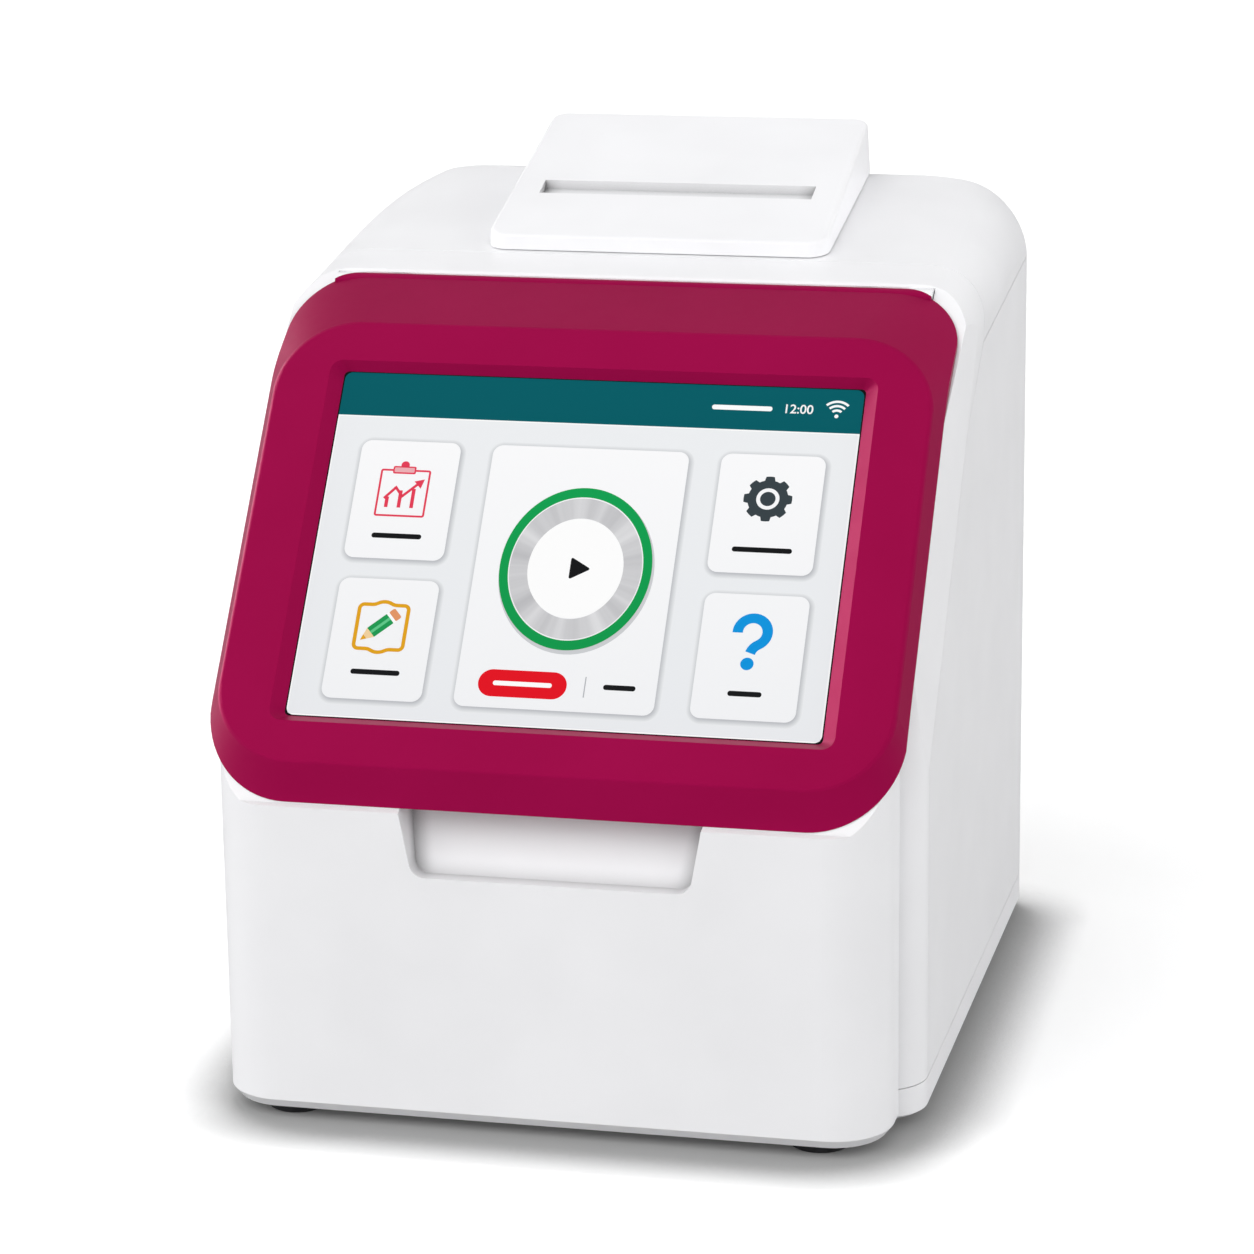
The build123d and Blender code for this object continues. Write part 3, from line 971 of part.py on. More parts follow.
SLOT_W, SLOT_LOW_Y, SLOT_HIGH_Y = 92.0, 57.0, 66.0
SLOT_LEDGE_Y = 61.5         # the slot is open in front of this and has a ledge behind it
SLOT_LEDGE_DROP, SLOT_LEDGE_T = 3.0, 1.6
NOTCH_Y, NOTCH_W, NOTCH_H = 33.0, 5.0, 1.8      # fingernail notch under the cover's left edge
with BuildPart() as printer_cover:
    add(cover_form(0.0))
    top_face = printer_cover.faces().filter_by(lambda face: face.normal_at().Z > 0.9).sort_by(Axis.Z)[-1]
    fillet(top_face.edges(), COVER_EDGE_R)
    add(cover_form(COVER_WALL), mode=Mode.SUBTRACT)
    add(rod_x(COVER_AXIS, COVER_BARREL_R, well_low_x - 2.0, well_high_x + 2.0))
    # nothing of the rear wall stays below the hinge line, so that it can swing down
    add(prism_x([
        (COVER_AXIS[0] + 0.2, COVER_AXIS[1] - 6.0), (PRINTER_REAR_Y + 5.0, COVER_AXIS[1] - 6.0),
        (PRINTER_REAR_Y + 5.0, COVER_AXIS[1]), (COVER_AXIS[0] + COVER_BARREL_R - 0.05, COVER_AXIS[1]),
        (COVER_AXIS[0] + 1.7, COVER_AXIS[1] - 1.8),
        (COVER_AXIS[0] + 0.2, COVER_AXIS[1] - COVER_BARREL_R - 0.1),
    ]), mode=Mode.SUBTRACT)
    for side in (-1, 1):
        lug_x = PRINTER_X + side * COVER_LUG_X
        lug_low = lug_x - COVER_LUG_W / 2 - GAP
        lug_high = lug_x + COVER_LUG_W / 2 + GAP
        add(rod_x(COVER_AXIS, COVER_BARREL_R + GAP, lug_low, lug_high), mode=Mode.SUBTRACT)
        add(block(
            (lug_low, lug_high), (COVER_AXIS[0] - 3.0, PRINTER_REAR_Y + 5), (255.0, COVER_AXIS[1] + 1.5),
        ), mode=Mode.SUBTRACT)
    add(rod_x(COVER_AXIS, COVER_PIN_R + RUNNING_FIT, well_low_x - 3, well_high_x + 3), mode=Mode.SUBTRACT)
    # paper slot: a sunk channel, open along its front, with a tear-off ledge along its rear
    slot_half = SLOT_W / 2
    ledge_rear = SLOT_HIGH_Y + COVER_WALL
    ledge_low = SLOT_LEDGE_DROP + SLOT_LEDGE_T
    add(prism_x([
        (SLOT_LOW_Y - COVER_WALL, cover_top(SLOT_LOW_Y - COVER_WALL, COVER_WALL / 2)),
        (ledge_rear, cover_top(ledge_rear, COVER_WALL / 2)), (ledge_rear, cover_top(ledge_rear, ledge_low)),
        (SLOT_LOW_Y - COVER_WALL, cover_top(SLOT_LOW_Y - COVER_WALL, ledge_low)),
    ], PRINTER_X - slot_half - COVER_WALL, PRINTER_X + slot_half + COVER_WALL))
    add(prism_x([
        (SLOT_LOW_Y, cover_top(SLOT_LOW_Y, SLOT_LEDGE_DROP)),
        (SLOT_HIGH_Y, cover_top(SLOT_HIGH_Y, SLOT_LEDGE_DROP)), (SLOT_HIGH_Y, FAR), (SLOT_LOW_Y, FAR),
    ], PRINTER_X - slot_half, PRINTER_X + slot_half), mode=Mode.SUBTRACT)
    add(block((PRINTER_X - slot_half, PRINTER_X + slot_half), (SLOT_LOW_Y, SLOT_LEDGE_Y), (250.0, FAR)),
        mode=Mode.SUBTRACT)
    # fingernail notch low on the left side, by the front corner
    notch_low = roof_height(NOTCH_Y) - 1.0
    add(block(
        (PRINTER_X - PRINTER_W / 2 - 1, PRINTER_X - PRINTER_W / 2 + COVER_WALL + 1),
        (NOTCH_Y, NOTCH_Y + NOTCH_W), (notch_low, roof_height(NOTCH_Y) + GAP + NOTCH_H),
    ), mode=Mode.SUBTRACT)
    for side in (-1, 1):
        ear_low, ear_high = sorted((PRINTER_X + side * EAR_X[0], PRINTER_X + side * EAR_X[1]))
        add(prism_x([
            (PLATEN_AXIS[0] - 4.0, PLATEN_AXIS[1] - 3.5), (PLATEN_AXIS[0] + 4.0, PLATEN_AXIS[1] - 3.5),
            (PLATEN_AXIS[0] + 5.5, cover_top(PLATEN_AXIS[0] + 5.5, COVER_WALL / 2)),
            (PLATEN_AXIS[0] - 5.5, cover_top(PLATEN_AXIS[0] - 5.5, COVER_WALL / 2)),
        ], ear_low, ear_high))
        add(rod_x(PLATEN_AXIS, PLATEN_SHAFT_R + SHAFT_FIT, ear_low - 1, ear_high + 1), mode=Mode.SUBTRACT)
save(printer_cover, "printer_cover")

with BuildPart() as platen_roller:
    add(rod_x(PLATEN_AXIS, PLATEN_R, PRINTER_X - 41.0, PRINTER_X + 41.0))
    chamfer(platen_roller.edges().filter_by(GeomType.CIRCLE), 0.4)
    add(rod_x(PLATEN_AXIS, PLATEN_SHAFT_R, PRINTER_X - 42.0, PRINTER_X + 42.0), mode=Mode.SUBTRACT)
save(platen_roller, "platen_roller")
with BuildPart() as platen_shaft:
    add(rod_x(PLATEN_AXIS, PLATEN_SHAFT_R, PRINTER_X - 47.6, PRINTER_X + 47.6))
save(platen_shaft, "platen_shaft")

with BuildPart() as cover_hinge_pins:
    for side in (-1, 1):
        lug_x = PRINTER_X + side * COVER_LUG_X
        add(rod_x(COVER_AXIS, COVER_PIN_R, lug_x - 7.5, lug_x + 7.5))
save(cover_hinge_pins, "cover_hinge_pins")

# ---------------------------------------------------------------- lid
LID_SPLAY = (LID_WIDTH - LID_FACE_W) / 2 / LID_RIM_DROP     # side chamfer, width per depth
LID_LOW = -85.5
DEEP_LOW_RISE, DEEP_HIGH_RISE = -4.35, -16.6
DEEP_LOW, DEEP_HIGH = on_face(LID_LOW, DEEP_LOW_RISE), on_face(LID_TOP, DEEP_HIGH_RISE)
BAND_CLEAR = 0.55           # lid's top band above the frame, measured straight up
# the top band's outside runs from the face's upper edge and touches the barrel
band_start = on_face(LID_FACE_H / 2, LID_WALL)
reach_y, reach_z = LID_AXIS[0] - band_start[0], LID_AXIS[1] - band_start[1]
band_angle = math.atan2(reach_z, reach_y) + math.asin(LID_BARREL_R / math.hypot(reach_y, reach_z))
band_end = (
    LID_AXIS[0] - LID_BARREL_R * math.sin(band_angle), LID_AXIS[1] + LID_BARREL_R * math.cos(band_angle),
)
lid_profile = [
    RIM_BOTTOM, on_face(-LID_FACE_H / 2, LID_WALL), band_start, band_end,
    (band_end[0], frame_band(band_end[0], BAND_CLEAR)), RIM_BEND, RIM_LOW,
]
# sector of the barrel that stays open round a lug's stem, from rest to fully open
HOOD_OPEN_LOW, HOOD_OPEN_HIGH = 240.0, 375.0
hood_sector = [LID_AXIS] + [
    (LID_AXIS[0] + 6.0 * math.cos(math.radians(angle)), LID_AXIS[1] + 6.0 * math.sin(math.radians(angle)))
    for angle in (HOOD_OPEN_LOW, 270.0, 300.0, 330.0, HOOD_OPEN_HIGH)
]


def lid_form():
    """Lid before hollowing: flat face, splayed sides, sloping top and bottom bands."""
    deep_y = Vector(0, DEEP_HIGH[0] - DEEP_LOW[0], DEEP_HIGH[1] - DEEP_LOW[1])
    deep_length = deep_y.length
    deep_plane = Plane(
        origin=(0, DEEP_LOW[0], DEEP_LOW[1]), x_dir=(1, 0, 0),
        z_dir=Vector(1, 0, 0).cross(deep_y.normalized()),
    )
    low_half = LID_FACE_W / 2 + (LID_WALL - DEEP_LOW_RISE) * LID_SPLAY
    high_half = LID_FACE_W / 2 + (LID_WALL - DEEP_HIGH_RISE) * LID_SPLAY
    with BuildPart() as form:
        with BuildSketch(screen_plane(LID_WALL)):
            RectangleRounded(LID_FACE_W, LID_FACE_H, LID_FACE_R)
        with BuildSketch(deep_plane) as deep_outline:
            with BuildLine():
                Polyline(
                    (-low_half, 0), (low_half, 0), (high_half, deep_length), (-high_half, deep_length),
                    close=True,
                )
            make_face()
            fillet(deep_outline.vertices(), LID_CORNER_R)
        loft(ruled=True)
        add(prism_x(lid_profile), mode=Mode.INTERSECT)
        with BuildSketch(screen_plane(-30.0)) as lid_outline:
            with Locations((0, (LID_LOW + LID_TOP) / 2 - 6.0)):
                Rectangle(LID_WIDTH, LID_TOP - LID_LOW + 12.0)
            fillet(lid_outline.vertices().sort_by(Axis((0, 0, 0), UP_FACE))[-2:], LID_TOP_R)
        extrude(amount=50.0, mode=Mode.INTERSECT)
    return form.part


PIN_REACH = 4.5             # how far each hinge pin reaches past its lug
BARREL_TUCK = 0.4           # how far the barrel's rear bulges past the outline of the lid's top
CATCH_R, CATCH_T = 3.5, 1.0
CATCH_RISE = -3.8
CATCH_PLACES = [(-60.0, -76.5), (60.0, -76.5)]
CATCH_SOCKET, CATCH_CLEAR = 5.0, 0.1
FACE_EDGE_R = 1.8
with BuildPart() as barrel_bound:
    with BuildSketch(screen_plane(-30.0)) as barrel_outline:
        Rectangle(LID_WIDTH + 2 * BARREL_TUCK, 2 * (LID_TOP + BARREL_TUCK))
        fillet(barrel_outline.vertices().sort_by(Axis((0, 0, 0), UP_FACE))[-2:], LID_TOP_R + BARREL_TUCK)
    extrude(amount=50.0)
LID_SCREW_PITCH_X, LID_SCREW_PITCH_Y, SCREW_HEAD_R, SCREW_R = 192.0, 122.0, 2.5, 1.2
TOP_POCKET = [(-29.5, 229.0), (-9.0, 235.4), (-9.0, 228.0), (-32.0, 205.0), (-36.0, 215.0)]
TOP_POCKET_HALF = 86.0
POCKET_HALF, POCKET_LOW, POCKET_HIGH, POCKET_R = 101.5, -72.0, 72.0, 14.0
with BuildPart() as lid_shell:
    add(lid_form())
    face = lid_shell.faces().filter_by(GeomType.PLANE).filter_by(
        lambda item: (item.normal_at() - OUT_FACE).length < 0.01
    ).sort_by(SortBy.AREA)[-1]
    fillet(face.outer_wire().edges(), FACE_EDGE_R)
    # barrel that turns around the hinge pins, cut to the lid's outline at its ends
    add(rod_x(LID_AXIS, LID_BARREL_R, -BARREL_SIDE, BARREL_SIDE))
    add(barrel_bound.part, mode=Mode.INTERSECT)
    for side in (-1, 1):
        lug_low = side * LUG_X - LUG_W / 2 - GAP
        lug_high = side * LUG_X + LUG_W / 2 + GAP
        add(rod_x(LID_AXIS, LUG_R + GAP, lug_low, lug_high), mode=Mode.SUBTRACT)
        add(prism_x(hood_sector, lug_low, lug_high), mode=Mode.SUBTRACT)
        add(rod_x(LID_AXIS, LID_PIN_R + RUNNING_FIT, lug_low - PIN_REACH, lug_high + PIN_REACH),
            mode=Mode.SUBTRACT)
    # pocket behind the face, and a second one under the top band
    add(face_prism(2 * POCKET_HALF, POCKET_LOW, POCKET_HIGH, POCKET_R, -40.0, 0.0), mode=Mode.SUBTRACT)
    add(prism_x(TOP_POCKET, -TOP_POCKET_HALF, TOP_POCKET_HALF), mode=Mode.SUBTRACT)
    # screen recess: bevelled sides down to the glass
    with BuildSketch(screen_plane(LID_WALL)):
        RectangleRounded(RECESS_W, RECESS_H, RECESS_R)
    with BuildSketch(screen_plane(0.0)):
        RectangleRounded(SCREEN_W, SCREEN_H, 1.6)
    loft(ruled=True, mode=Mode.SUBTRACT)
    # sockets for the two catch plates
    with BuildSketch(screen_plane(CATCH_RISE - CATCH_SOCKET)):
        with Locations(*CATCH_PLACES):
            Circle(CATCH_R)
    extrude(amount=CATCH_SOCKET + CATCH_T + CATCH_CLEAR, mode=Mode.SUBTRACT)
    # screw bosses' holes
    with BuildSketch(screen_plane(-0.5)):
        with GridLocations(LID_SCREW_PITCH_X, LID_SCREW_PITCH_Y, 2, 2):
            Circle(SCREW_R)
    extrude(amount=2.2, mode=Mode.SUBTRACT)
save(lid_shell, "lid_shell")

# white caps fill the rest of the hinge groove where the lid's corners round away from it
with BuildPart() as hinge_caps:
    for cap_low, cap_high in ((-BARREL_SIDE, -CAP_START), (CAP_START, BARREL_SIDE)):
        add(rod_x(LID_AXIS, LID_BARREL_R, cap_low, cap_high))
    add(barrel_bound.part, mode=Mode.SUBTRACT)
save(hinge_caps, "hinge_caps")

LINER_PLATE = (-2.6, 0.0)
BULGE_W, BULGE_LOW, BULGE_HIGH, BULGE_R = 178.0, -65.5, 65.5, 5.0
BULGE_BACK = -25.0
LINER_WALL = 2.0
with BuildPart() as lid_liner:
    add(face_prism(2 * POCKET_HALF - 0.4, POCKET_LOW + 0.2, POCKET_HIGH - 0.2, POCKET_R - 0.2, *LINER_PLATE))
    add(face_prism(BULGE_W, BULGE_LOW, BULGE_HIGH, BULGE_R, BULGE_BACK, 0.0))
    back_face = lid_liner.faces().filter_by(GeomType.PLANE).filter_by(
        lambda item: (item.normal_at() + OUT_FACE).length < 0.01
    ).sort_by(SortBy.AREA)
    deepest = min(back_face, key=lambda item: item.center().dot(OUT_FACE))
    fillet(deepest.edges(), 3.0)
    add(face_prism(
        BULGE_W - 2 * LINER_WALL, BULGE_LOW + LINER_WALL, BULGE_HIGH - LINER_WALL, BULGE_R - LINER_WALL,
        BULGE_BACK + LINER_WALL, 5.0,
    ), mode=Mode.SUBTRACT)
    with BuildSketch(screen_plane(0.0)):
        with GridLocations(LID_SCREW_PITCH_X, LID_SCREW_PITCH_Y, 2, 2):
            Circle(1.35)
    extrude(amount=-4.0, mode=Mode.SUBTRACT)
    with BuildSketch(screen_plane(LINER_PLATE[0])):
        with GridLocations(LID_SCREW_PITCH_X, LID_SCREW_PITCH_Y, 2, 2):
            Circle(2.7)
    extrude(amount=1.4, mode=Mode.SUBTRACT)
save(lid_liner, "lid_liner")

GLASS_T, PANEL_T = 1.4, 6.0
GLASS_W, GLASS_HALF_H = 172.5, 61.5
STAND_OFF, DISPLAY_BOARD_T = 6.4, 1.6
board_front = -GLASS_T - PANEL_T - STAND_OFF
board_back = board_front - DISPLAY_BOARD_T
with BuildPart() as touch_glass:
    add(face_prism(GLASS_W, -GLASS_HALF_H, GLASS_HALF_H, 2.5, -GLASS_T, 0.0))
save(touch_glass, "touch_glass")
with BuildPart() as display_panel:
    add(face_prism(GLASS_W, -GLASS_HALF_H, GLASS_HALF_H, 1.5, -GLASS_T - PANEL_T, -GLASS_T))
save(display_panel, "display_panel")
with BuildPart() as display_board:
    add(face_prism(120.0, -45.0, 45.0, 1.5, board_back, board_front))
    with BuildSketch(screen_plane(board_front)):
        with GridLocations(110.0, 80.0, 2, 2):
            Circle(2.6)
    extrude(amount=STAND_OFF)
    with BuildSketch(screen_plane(board_back)):
        with Locations((-20.0, 5.0)):
            Rectangle(18.0, 18.0)
        with Locations((25.0, -10.0)):
            Rectangle(14.0, 10.0)
    extrude(amount=-2.0)
save(display_board, "display_board")

with BuildPart() as lid_screws:
    with BuildSketch(screen_plane(LINER_PLATE[0] + 0.1)):
        with GridLocations(LID_SCREW_PITCH_X, LID_SCREW_PITCH_Y, 2, 2):
            Circle(SCREW_HEAD_R)
    extrude(amount=1.3)
    with BuildSketch(screen_plane(LINER_PLATE[0] + 1.4)):
        with GridLocations(LID_SCREW_PITCH_X, LID_SCREW_PITCH_Y, 2, 2):
            Circle(SCREW_R)
    extrude(amount=2.8)
save(lid_screws, "lid_screws")

with BuildPart() as catch_plates:
    with BuildSketch(screen_plane(CATCH_RISE)):
        with Locations(*CATCH_PLACES):
            Circle(CATCH_R)
    extrude(amount=CATCH_T)
save(catch_plates, "catch_plates")
with BuildPart() as catch_magnets:
    with BuildSketch(screen_plane(LEDGE_BACK)):
        with Locations(*CATCH_PLACES):
            Circle(CATCH_R - 0.3)
    extrude(amount=-3.0)
save(catch_magnets, "catch_magnets")

with BuildPart() as lid_hinge_pins:
    for side in (-1, 1):
        half_pin = LUG_W / 2 + PIN_REACH
        add(rod_x(LID_AXIS, LID_PIN_R, side * LUG_X - half_pin, side * LUG_X + half_pin))
save(lid_hinge_pins, "lid_hinge_pins")

# ---------------------------------------------------------------- fasteners
BASE_SCREW_R, NUT_R, NUT_H = 1.5, 3.2, 2.0
with BuildPart() as base_screws:
    with BuildSketch(Plane.XY.offset(FOOT_HEIGHT)):
        with GridLocations(BOSS_PITCH_X, BOSS_PITCH_Y, 2, 2):
            Circle(BASE_SCREW_R)
    extrude(amount=CHASSIS_FLOOR - FOOT_HEIGHT + NUT_H)
    with BuildSketch(Plane.XY.offset(CHASSIS_FLOOR)):
        with GridLocations(BOSS_PITCH_X, BOSS_PITCH_Y, 2, 2):
            RegularPolygon(NUT_R, 6)
            Circle(BASE_SCREW_R, mode=Mode.SUBTRACT)
    extrude(amount=NUT_H)
save(base_screws, "base_screws")

with BuildPart() as rear_screws:
    with BuildSketch(rear_outside.offset(1.2)):
        with Locations(*PANEL_SCREWS):
            Circle(REAR_HEAD_R)
        with Locations((FAN_X, FAN_Z)):
            with GridLocations(FAN_SCREW_PITCH, FAN_SCREW_PITCH, 2, 2):
                Circle(REAR_HEAD_R)
    extrude(amount=SCREW_HEAD_H - 0.2)
save(rear_screws, "rear_screws")
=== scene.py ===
"""Looks of the benchtop chemistry analyzer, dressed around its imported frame.

Metres, +Z up, the screen side faces -Y and +X is to the right of someone facing it.
"""

import logging
import math
from dataclasses import dataclass, field
from enum import Enum

import bmesh
import bpy
from mathutils import Matrix, Vector


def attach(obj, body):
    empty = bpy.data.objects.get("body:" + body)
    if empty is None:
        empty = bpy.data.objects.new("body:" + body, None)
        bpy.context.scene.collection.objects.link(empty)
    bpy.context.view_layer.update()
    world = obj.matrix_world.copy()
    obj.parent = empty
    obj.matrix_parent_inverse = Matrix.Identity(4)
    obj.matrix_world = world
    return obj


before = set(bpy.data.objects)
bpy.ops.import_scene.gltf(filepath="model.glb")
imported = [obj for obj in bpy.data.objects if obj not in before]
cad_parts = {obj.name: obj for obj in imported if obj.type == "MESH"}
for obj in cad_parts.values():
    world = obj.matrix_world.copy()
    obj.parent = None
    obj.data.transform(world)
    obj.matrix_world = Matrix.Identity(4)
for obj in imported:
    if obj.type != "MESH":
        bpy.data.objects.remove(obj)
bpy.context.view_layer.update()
LOG = logging.getLogger("analyzer")
MM = 0.001
QUARTER, HALF_TURN = 90.0, 180.0  # degrees
SRGB_KNEE, SRGB_SLOPE = 0.04045, 12.92  # straight foot of the sRGB curve
SRGB_SHIFT, SRGB_POWER = 0.055, 2.4  # its curved part
NOISE_LOW, NOISE_HIGH = 0.3, 0.7  # where most of a noise texture's values lie
GRAIN_DEPTH = 0.2  # height of a grain as a share of its size
ROOM_SHARE, BACKLIGHT = 0.34, 0.6  # what lights the screen's picture
SHADE = "shade"  # attribute that fades a printed shadow

Socket = bpy.types.NodeSocket
Material = bpy.types.Material
Shape = bmesh.types.BMesh
Inks = dict[str, Material]
Pair = tuple[float, float]
Triple = tuple[float, float, float]
Stroke = tuple[Pair, float, float]


# ---- shader nodes
def linear(colour: str) -> tuple[float, float, float, float]:
    """Turn an sRGB hex colour, six digits after a hash sign, into linear RGBA."""
    channels = [int(colour[place:place + 2], 16) / 255 for place in (1, 3, 5)]
    bent = [
        c / SRGB_SLOPE if c <= SRGB_KNEE else ((c + SRGB_SHIFT) / (1 + SRGB_SHIFT)) ** SRGB_POWER
        for c in channels
    ]
    return (bent[0], bent[1], bent[2], 1.0)


class Nodes:
    """A node tree, with the steps that the finishes and the studio share."""

    def __init__(self, tree: bpy.types.NodeTree) -> None:
        """Take a tree and empty it."""
        tree.nodes.clear()
        self.tree = tree

    def add(self, kind: str, inputs: dict | None = None, **settings) -> bpy.types.Node:
        """Add a node with its settings, constants and links.

        Args:
            kind: the node's type name after "ShaderNode".
            inputs: input name or index to a constant, or to an output socket that feeds it.
            **settings: properties of the node itself.

        Returns:
            The new node.
        """
        node = self.tree.nodes.new(f"ShaderNode{kind}")
        for name, value in settings.items():
            setattr(node, name, value)
        for place, value in (inputs or {}).items():
            if isinstance(value, Socket):
                self.tree.links.new(value, node.inputs[place])
            else:
                node.inputs[place].default_value = value
        return node

    def math(self, operation: str, first: Socket, second: Socket | float) -> Socket:
        """Result of one operation on two numbers."""
        return self.add("Math", {0: first, 1: second}, operation=operation).outputs["Value"]

    def dot(self, first: Socket, second: Vector) -> Socket:
        """Dot product of a socket and a fixed vector."""
        both = {0: first, 1: tuple(second)}
        return self.add("VectorMath", both, operation="DOT_PRODUCT").outputs["Value"]

    def scaled(self, vector: Socket, factor: Socket | float) -> Socket:
        """Vector or colour times a number."""
        both = {0: vector, "Scale": factor}
        return self.add("VectorMath", both, operation="SCALE").outputs["Vector"]

    def span(self, value: Socket, start: Pair, end: Pair = (0.0, 1.0), **settings) -> Socket:
        """Value carried over from one span to another and held at its ends."""
        node = self.add("MapRange", {
            "Value": value, "From Min": start[0], "From Max": start[1],
            "To Min": end[0], "To Max": end[1],
        }, **settings)
        return node.outputs["Result"]

    def tones(self, factor: Socket, low: str, high: str) -> Socket:
        """Colour between two hex colours."""
        both = {"Factor": factor, "A": linear(low), "B": linear(high)}
        return self.add("Mix", both, data_type="RGBA").outputs["Result"]

    def choice(self, factor: Socket, low: Socket | float, high: Socket | float) -> Socket:
        """Number between two numbers."""
        return self.add("Mix", {"Factor": factor, "A": low, "B": high}).outputs["Result"]

    def place(self, stretch: Triple = (1.0, 1.0, 1.0)) -> Socket:
        """Object coordinates in metres, stretched along X, Y and Z."""
        coordinates = self.add("TexCoord").outputs["Object"]
        return self.add("Mapping", {"Vector": coordinates, "Scale": stretch}).outputs["Vector"]

    def noise(self, place: Socket, size_mm: float, detail: float = 2.0) -> Socket:
        """Noise whose patches have the given size."""
        inputs = {"Vector": place, "Scale": 1.0 / (size_mm * MM), "Detail": detail}
        return self.add("TexNoise", inputs).outputs["Fac"]

    def mottled(
        self, place: Socket, size_mm: float, low: str, high: str, detail: float = 2.0,
    ) -> Socket:
        """Colour that drifts between two close hex colours, over patches of one size."""
        drift = self.span(self.noise(place, size_mm, detail), (NOISE_LOW, NOISE_HIGH))
        return self.tones(drift, low, high)

    def uneven(self, place: Socket, size_mm: float, low: float, high: float) -> Socket:
        """Roughness that varies over patches of one size, from its smoothest to its roughest."""
        return self.span(self.noise(place, size_mm), (NOISE_LOW, NOISE_HIGH), (low, high))

    def grain(self, place: Socket, size_mm: float, strength: float) -> Socket:
        """Bumpy normal of a fine surface grain."""
        return self.add("Bump", {
            "Height": self.noise(place, size_mm, detail=3.0), "Strength": strength,
            "Distance": size_mm * MM * GRAIN_DEPTH,
        }).outputs["Normal"]

    def painted_hollow_shade(self, tint: Socket, reach_mm: float, depth: float) -> Socket:
        """Painted shade: colour darkened near other faces of the same piece, in its slots and
        corners.
        """
        near = self.add("AmbientOcclusion", {"Distance": reach_mm * MM}, samples=6, only_local=True)
        return self.scaled(tint, self.math("POWER", near.outputs["AO"], depth))

    def finish(self, inputs: dict) -> None:
        """Add the principled shader with its inputs and wire it to the output."""
        shader = self.add("BsdfPrincipled", inputs)
        self.add("OutputMaterial", {"Surface": shader.outputs["BSDF"]})

    def lit_picture(self, tint: Socket) -> None:
        """Finish a lit picture: room light gives a third of its colour, the backlight the rest."""
        self.finish({
            "Base Color": self.scaled(tint, ROOM_SHARE),
            "Emission Color": tint,
            "Emission Strength": BACKLIGHT,
            "Roughness": 0.3,
            "IOR": 1.45,
            "Specular IOR Level": 0.15,
        })


# ---- finishes
@dataclass(frozen=True)
class Finish:
    """A material with a name, a colour and a second tone that it drifts or fades to."""

    name: str
    colour: str
    tone: str

    def material(self) -> Material:
        """Build the material."""
        material = bpy.data.materials.new(self.name)
        material.use_nodes = True
        self.wire(Nodes(material.node_tree))
        return material

    def wire(self, nodes: Nodes) -> None:
        """Fill the material's tree."""
        raise NotImplementedError


@dataclass(frozen=True)
class MouldedPlastic(Finish):
    """Injection-moulded ABS: a fine spark-eroded grain that softens every highlight."""

    roughness: float = 0.42
    grain_mm: float = 0.45  # real grain is 0.1 mm; drawn coarser so that it shows at all
    grain: float = 0.04
    specular: float = 0.5
    glint: str = "#ffffff"  # tint of its reflections
    coat: float = 0.0
    tone_mm: float = 38.0  # size of a patch of one tone
    wear_mm: float = 9.0  # size of a patch of one roughness
    smoother: float = 0.03  # how far the roughness strays down and up
    rougher: float = 0.04
    shade_reach_mm: float = 6.0  # reach of the painted shade in its slots and corners
    shade_depth: float = 1.1

    def wire(self, nodes: Nodes) -> None:
        """Build the plastic: drifting tone with painted shade in its hollows, uneven roughness,
        grain bump.
        """
        place = nodes.place()
        tint = nodes.mottled(place, self.tone_mm, self.colour, self.tone)
        low, high = self.roughness - self.smoother, self.roughness + self.rougher
        nodes.finish({
            # the base colour carries painted shade in the piece's own slots and corners
            "Base Color": nodes.painted_hollow_shade(tint, self.shade_reach_mm, self.shade_depth),
            "Roughness": nodes.uneven(place, self.wear_mm, low, high),
            "Normal": nodes.grain(place, self.grain_mm, self.grain),
            "IOR": 1.53,
            "Specular IOR Level": self.specular,
            "Specular Tint": linear(self.glint),
            "Coat Weight": self.coat,
            "Coat Roughness": 0.16,
        })


@dataclass(frozen=True)
class Rubber(Finish):
    """Moulded rubber: dull and dark, with a faint sheen and a dusty unevenness."""

    roughness: float = 0.72
    stray: float = 0.08  # how far the roughness strays either way

    def wire(self, nodes: Nodes) -> None:
        """Build the rubber: dusty tone, coarse soft grain."""
        place = nodes.place()
        low, high = self.roughness - self.stray, self.roughness + self.stray
        nodes.finish({
            "Base Color": nodes.mottled(place, 4.0, self.colour, self.tone, detail=4.0),
            "Roughness": nodes.uneven(place, 3.0, low, high),
            "Normal": nodes.grain(place, 0.5, strength=0.15),
            "IOR": 1.52,
            "Sheen Weight": 0.05,
        })


class Brush(Enum):
    """How a metal surface was worked, as the stretch of its scratches along X, Y and Z."""

    LENGTHWISE = (0.04, 1.0, 1.0)
    UPRIGHT = (1.0, 1.0, 0.04)
    TURNED = (1.0, 1.0, 14.0)
    PLATED = (0.6, 0.6, 0.6)


@dataclass(frozen=True)
class WorkedMetal(Finish):
    """Brushed, turned or plated metal: fine scratches that drag the highlight out."""

    brush: Brush
    roughness: float = 0.34
    stray: float = 0.1  # how far the roughness strays either way
    scratch_mm: float = 0.5  # real scratches are 0.05 mm; drawn coarser so that they show

    def wire(self, nodes: Nodes) -> None:
        """Build the metal: stretched scratches in roughness and bump."""
        place = nodes.place(self.brush.value)
        low, high = self.roughness - self.stray, self.roughness + self.stray
        nodes.finish({
            "Base Color": nodes.mottled(place, 6.0, self.colour, self.tone, detail=4.0),
            "Metallic": 1.0,
            "Roughness": nodes.uneven(place, self.scratch_mm, low, high),
            "Normal": nodes.grain(place, self.scratch_mm, strength=0.12),
        })


